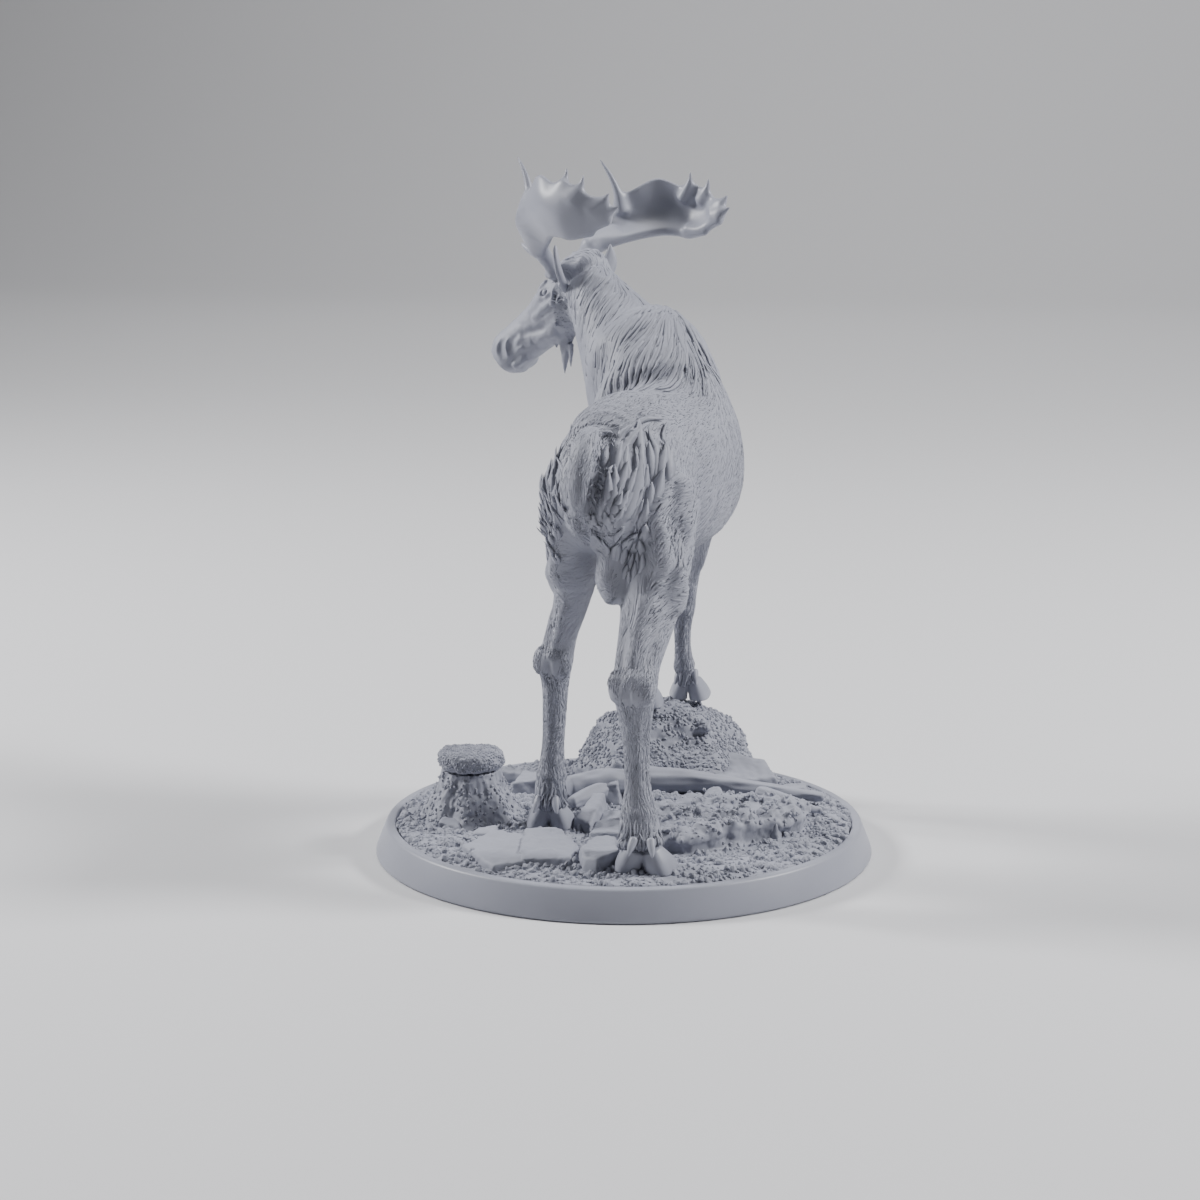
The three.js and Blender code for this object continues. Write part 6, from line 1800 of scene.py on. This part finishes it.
def makeResin(name, grainGroup):
    finish = finishes[name]
    material = bpy.data.materials.new(name)
    material.use_nodes = True
    tree = material.node_tree
    shader = tree.nodes["Principled BSDF"]
    place = addNode(tree, "ShaderNodeTexCoord")
    grain = addNode(tree, "ShaderNodeGroup", node_tree=grainGroup)
    grain.inputs["Scale"].default_value = finish["grainScale"]
    tree.links.new(place.outputs["Object"], grain.inputs["Vector"])
    tone = addNode(tree, "ShaderNodeMix", data_type="RGBA")
    colour = np.array(resinLook["colour"])
    tone.inputs["A"].default_value = (*(colour * resinLook["darkest"]), 1)
    tone.inputs["B"].default_value = (*(colour * resinLook["lightest"]), 1)
    tree.links.new(grain.outputs["Tone"], tone.inputs["Factor"])
    tree.links.new(tone.outputs["Result"], shader.inputs["Base Color"])
    shader.inputs["Roughness"].default_value = finish["roughness"]
    shader.inputs["Specular IOR Level"].default_value = resinLook["specular"]
    relief = addNode(tree, "ShaderNodeBump")
    relief.inputs["Strength"].default_value = finish["bump"]
    relief.inputs["Distance"].default_value = resinLook["reliefDistance"]
    tree.links.new(grain.outputs["Height"], relief.inputs["Height"])
    tree.links.new(relief.outputs["Normal"], shader.inputs["Normal"])
    return material


# stage

# lights: name, place, power, size and the place each is aimed at, in metres and watts
stageLook = {"floorColour": (0.62, 0.62, 0.64), "floorRoughness": 0.9, "floorSize": 3.0,
             "wallRadius": 0.6, "worldColour": (0.86, 0.88, 0.92), "worldStrength": 0.03,
             "lights": [("keyLight", (0.34, 0.06, 0.30), 2.6, 0.1, (0, 0, 0.03)),
                        ("leftLight", (-0.36, 0.0, 0.26), 2.4, 0.1, (0, 0, 0.03)),
                        ("topLight", (0.0, 0.05, 0.55), 0.9, 0.16, (0, 0, 0.03)),
                        ("wallLight", (0.0, 0.55, 0.9), 9.0, 0.6, (0, 1.4, 0.3))]}


def makeFloor(material):
    # a floor that curves up into a back wall
    look = stageLook
    half, radius = look["floorSize"] / 2, look["wallRadius"]
    turns = np.linspace(0, np.pi / 2, 17)
    line = [(-half, 0.0)] + [(half - radius + radius * math.sin(a), radius - radius * math.cos(a))
                             for a in turns] + [(half, 2.0)]
    points = np.array([(x, y, z) for y, z in line for x in (-half, half)]) / metre
    i = np.arange(len(line) - 1) * 2
    quads = np.stack([i, i + 1, i + 3, i + 2], -1)
    mesh = bpy.data.meshes.new("floor")
    mesh.from_pydata((points * metre).tolist(), [], quads.tolist())
    mesh.materials.append(material)
    mesh.polygons.foreach_set("use_smooth", np.ones(len(quads), bool))
    floor = bpy.data.objects.new("floor", mesh)
    bpy.context.scene.collection.objects.link(floor)


def makeFloorMaterial():
    material = bpy.data.materials.new("paleFloor")
    material.use_nodes = True
    shader = material.node_tree.nodes["Principled BSDF"]
    shader.inputs["Base Color"].default_value = (*stageLook["floorColour"], 1)
    shader.inputs["Roughness"].default_value = stageLook["floorRoughness"]
    return material


def aimed(thing, place, target):
    thing.location = place
    way = np.array(target) - place
    thing.rotation_euler = mathutils.Vector(way).to_track_quat("-Z", "Y").to_euler()
    bpy.context.scene.collection.objects.link(thing)


def addLight(name, place, power, size, target):
    lamp = bpy.data.lights.new(name, "AREA")
    lamp.energy = power
    lamp.size = size
    aimed(bpy.data.objects.new(name, lamp), place, target)


def makeStage():
    makeFloor(makeFloorMaterial())
    for light in stageLook["lights"]:
        addLight(*light)
    world = bpy.data.worlds.new("studio")
    world.use_nodes = True
    background = world.node_tree.nodes["Background"]
    background.inputs["Color"].default_value = (*stageLook["worldColour"], 1)
    background.inputs["Strength"].default_value = stageLook["worldStrength"]
    bpy.context.scene.world = world


# places in metres, lens and sensor in mm, and the width and height of the frame in pixels
cameraLook = {"lens": 70, "sensor": 36, "frame": 1200, "clip": (0.01, 20),
              "place": (0.04507, -0.2236, 0.069), "target": (-0.00235, -0.0005, 0.02538)}


def makeCamera():
    lens = bpy.data.cameras.new("camera")
    lens.lens = cameraLook["lens"]
    lens.sensor_width = cameraLook["sensor"]
    lens.clip_start, lens.clip_end = cameraLook["clip"]
    camera = bpy.data.objects.new("camera", lens)
    aimed(camera, cameraLook["place"], cameraLook["target"])
    bpy.context.scene.camera = camera


# all of it

grain = makeCastGrain()
coat = makeResin("resinCoat", grain)
smooth = makeResin("resinSmooth", grain)
earth = makeResin("resinGround", grain)
print("materials made")
coarser = 1
body = bodyClay(skinLook["bodyPitch"] * coarser)
face = headClay(skinLook["headPitch"] * coarser)
print("clay modelled")
bodyMesh = clayMesh(body, neckCut, -1)
faceMesh = clayMesh(face, neckCut, 1)
makeSkin(bodyMesh, faceMesh, coat)
print("skin made")
makeEyes(smooth)
makeEars(coat)
makeAntlers(smooth)
makeHooves(smooth)
makeDewclaws(smooth)
print("moose made")
makeBase(smooth, earth)
print("base made")
lie = makeLie({"torso": torso, "neck": neck, "head": head, "hindRight": hindRight,
               "hindLeft": hindLeft, "foreRight": foreRight, "foreLeft": foreLeft, "tail": tail,
               "bell": bell})
print("lie of the coat laid out")
makeShortFur(body, bodyMesh, lie, coat)
makeLegFur(body, bodyMesh, lie, coat)
makeLeaves(body, bodyMesh, lie, coat)
makeBigLocks(body, coat)
makeMane([("body", body, bodyMesh), ("head", face, faceMesh)], lie, coat)
makeFaceFur(face, faceMesh, lie, coat)
print("coat grown")
makeStage()
makeCamera()
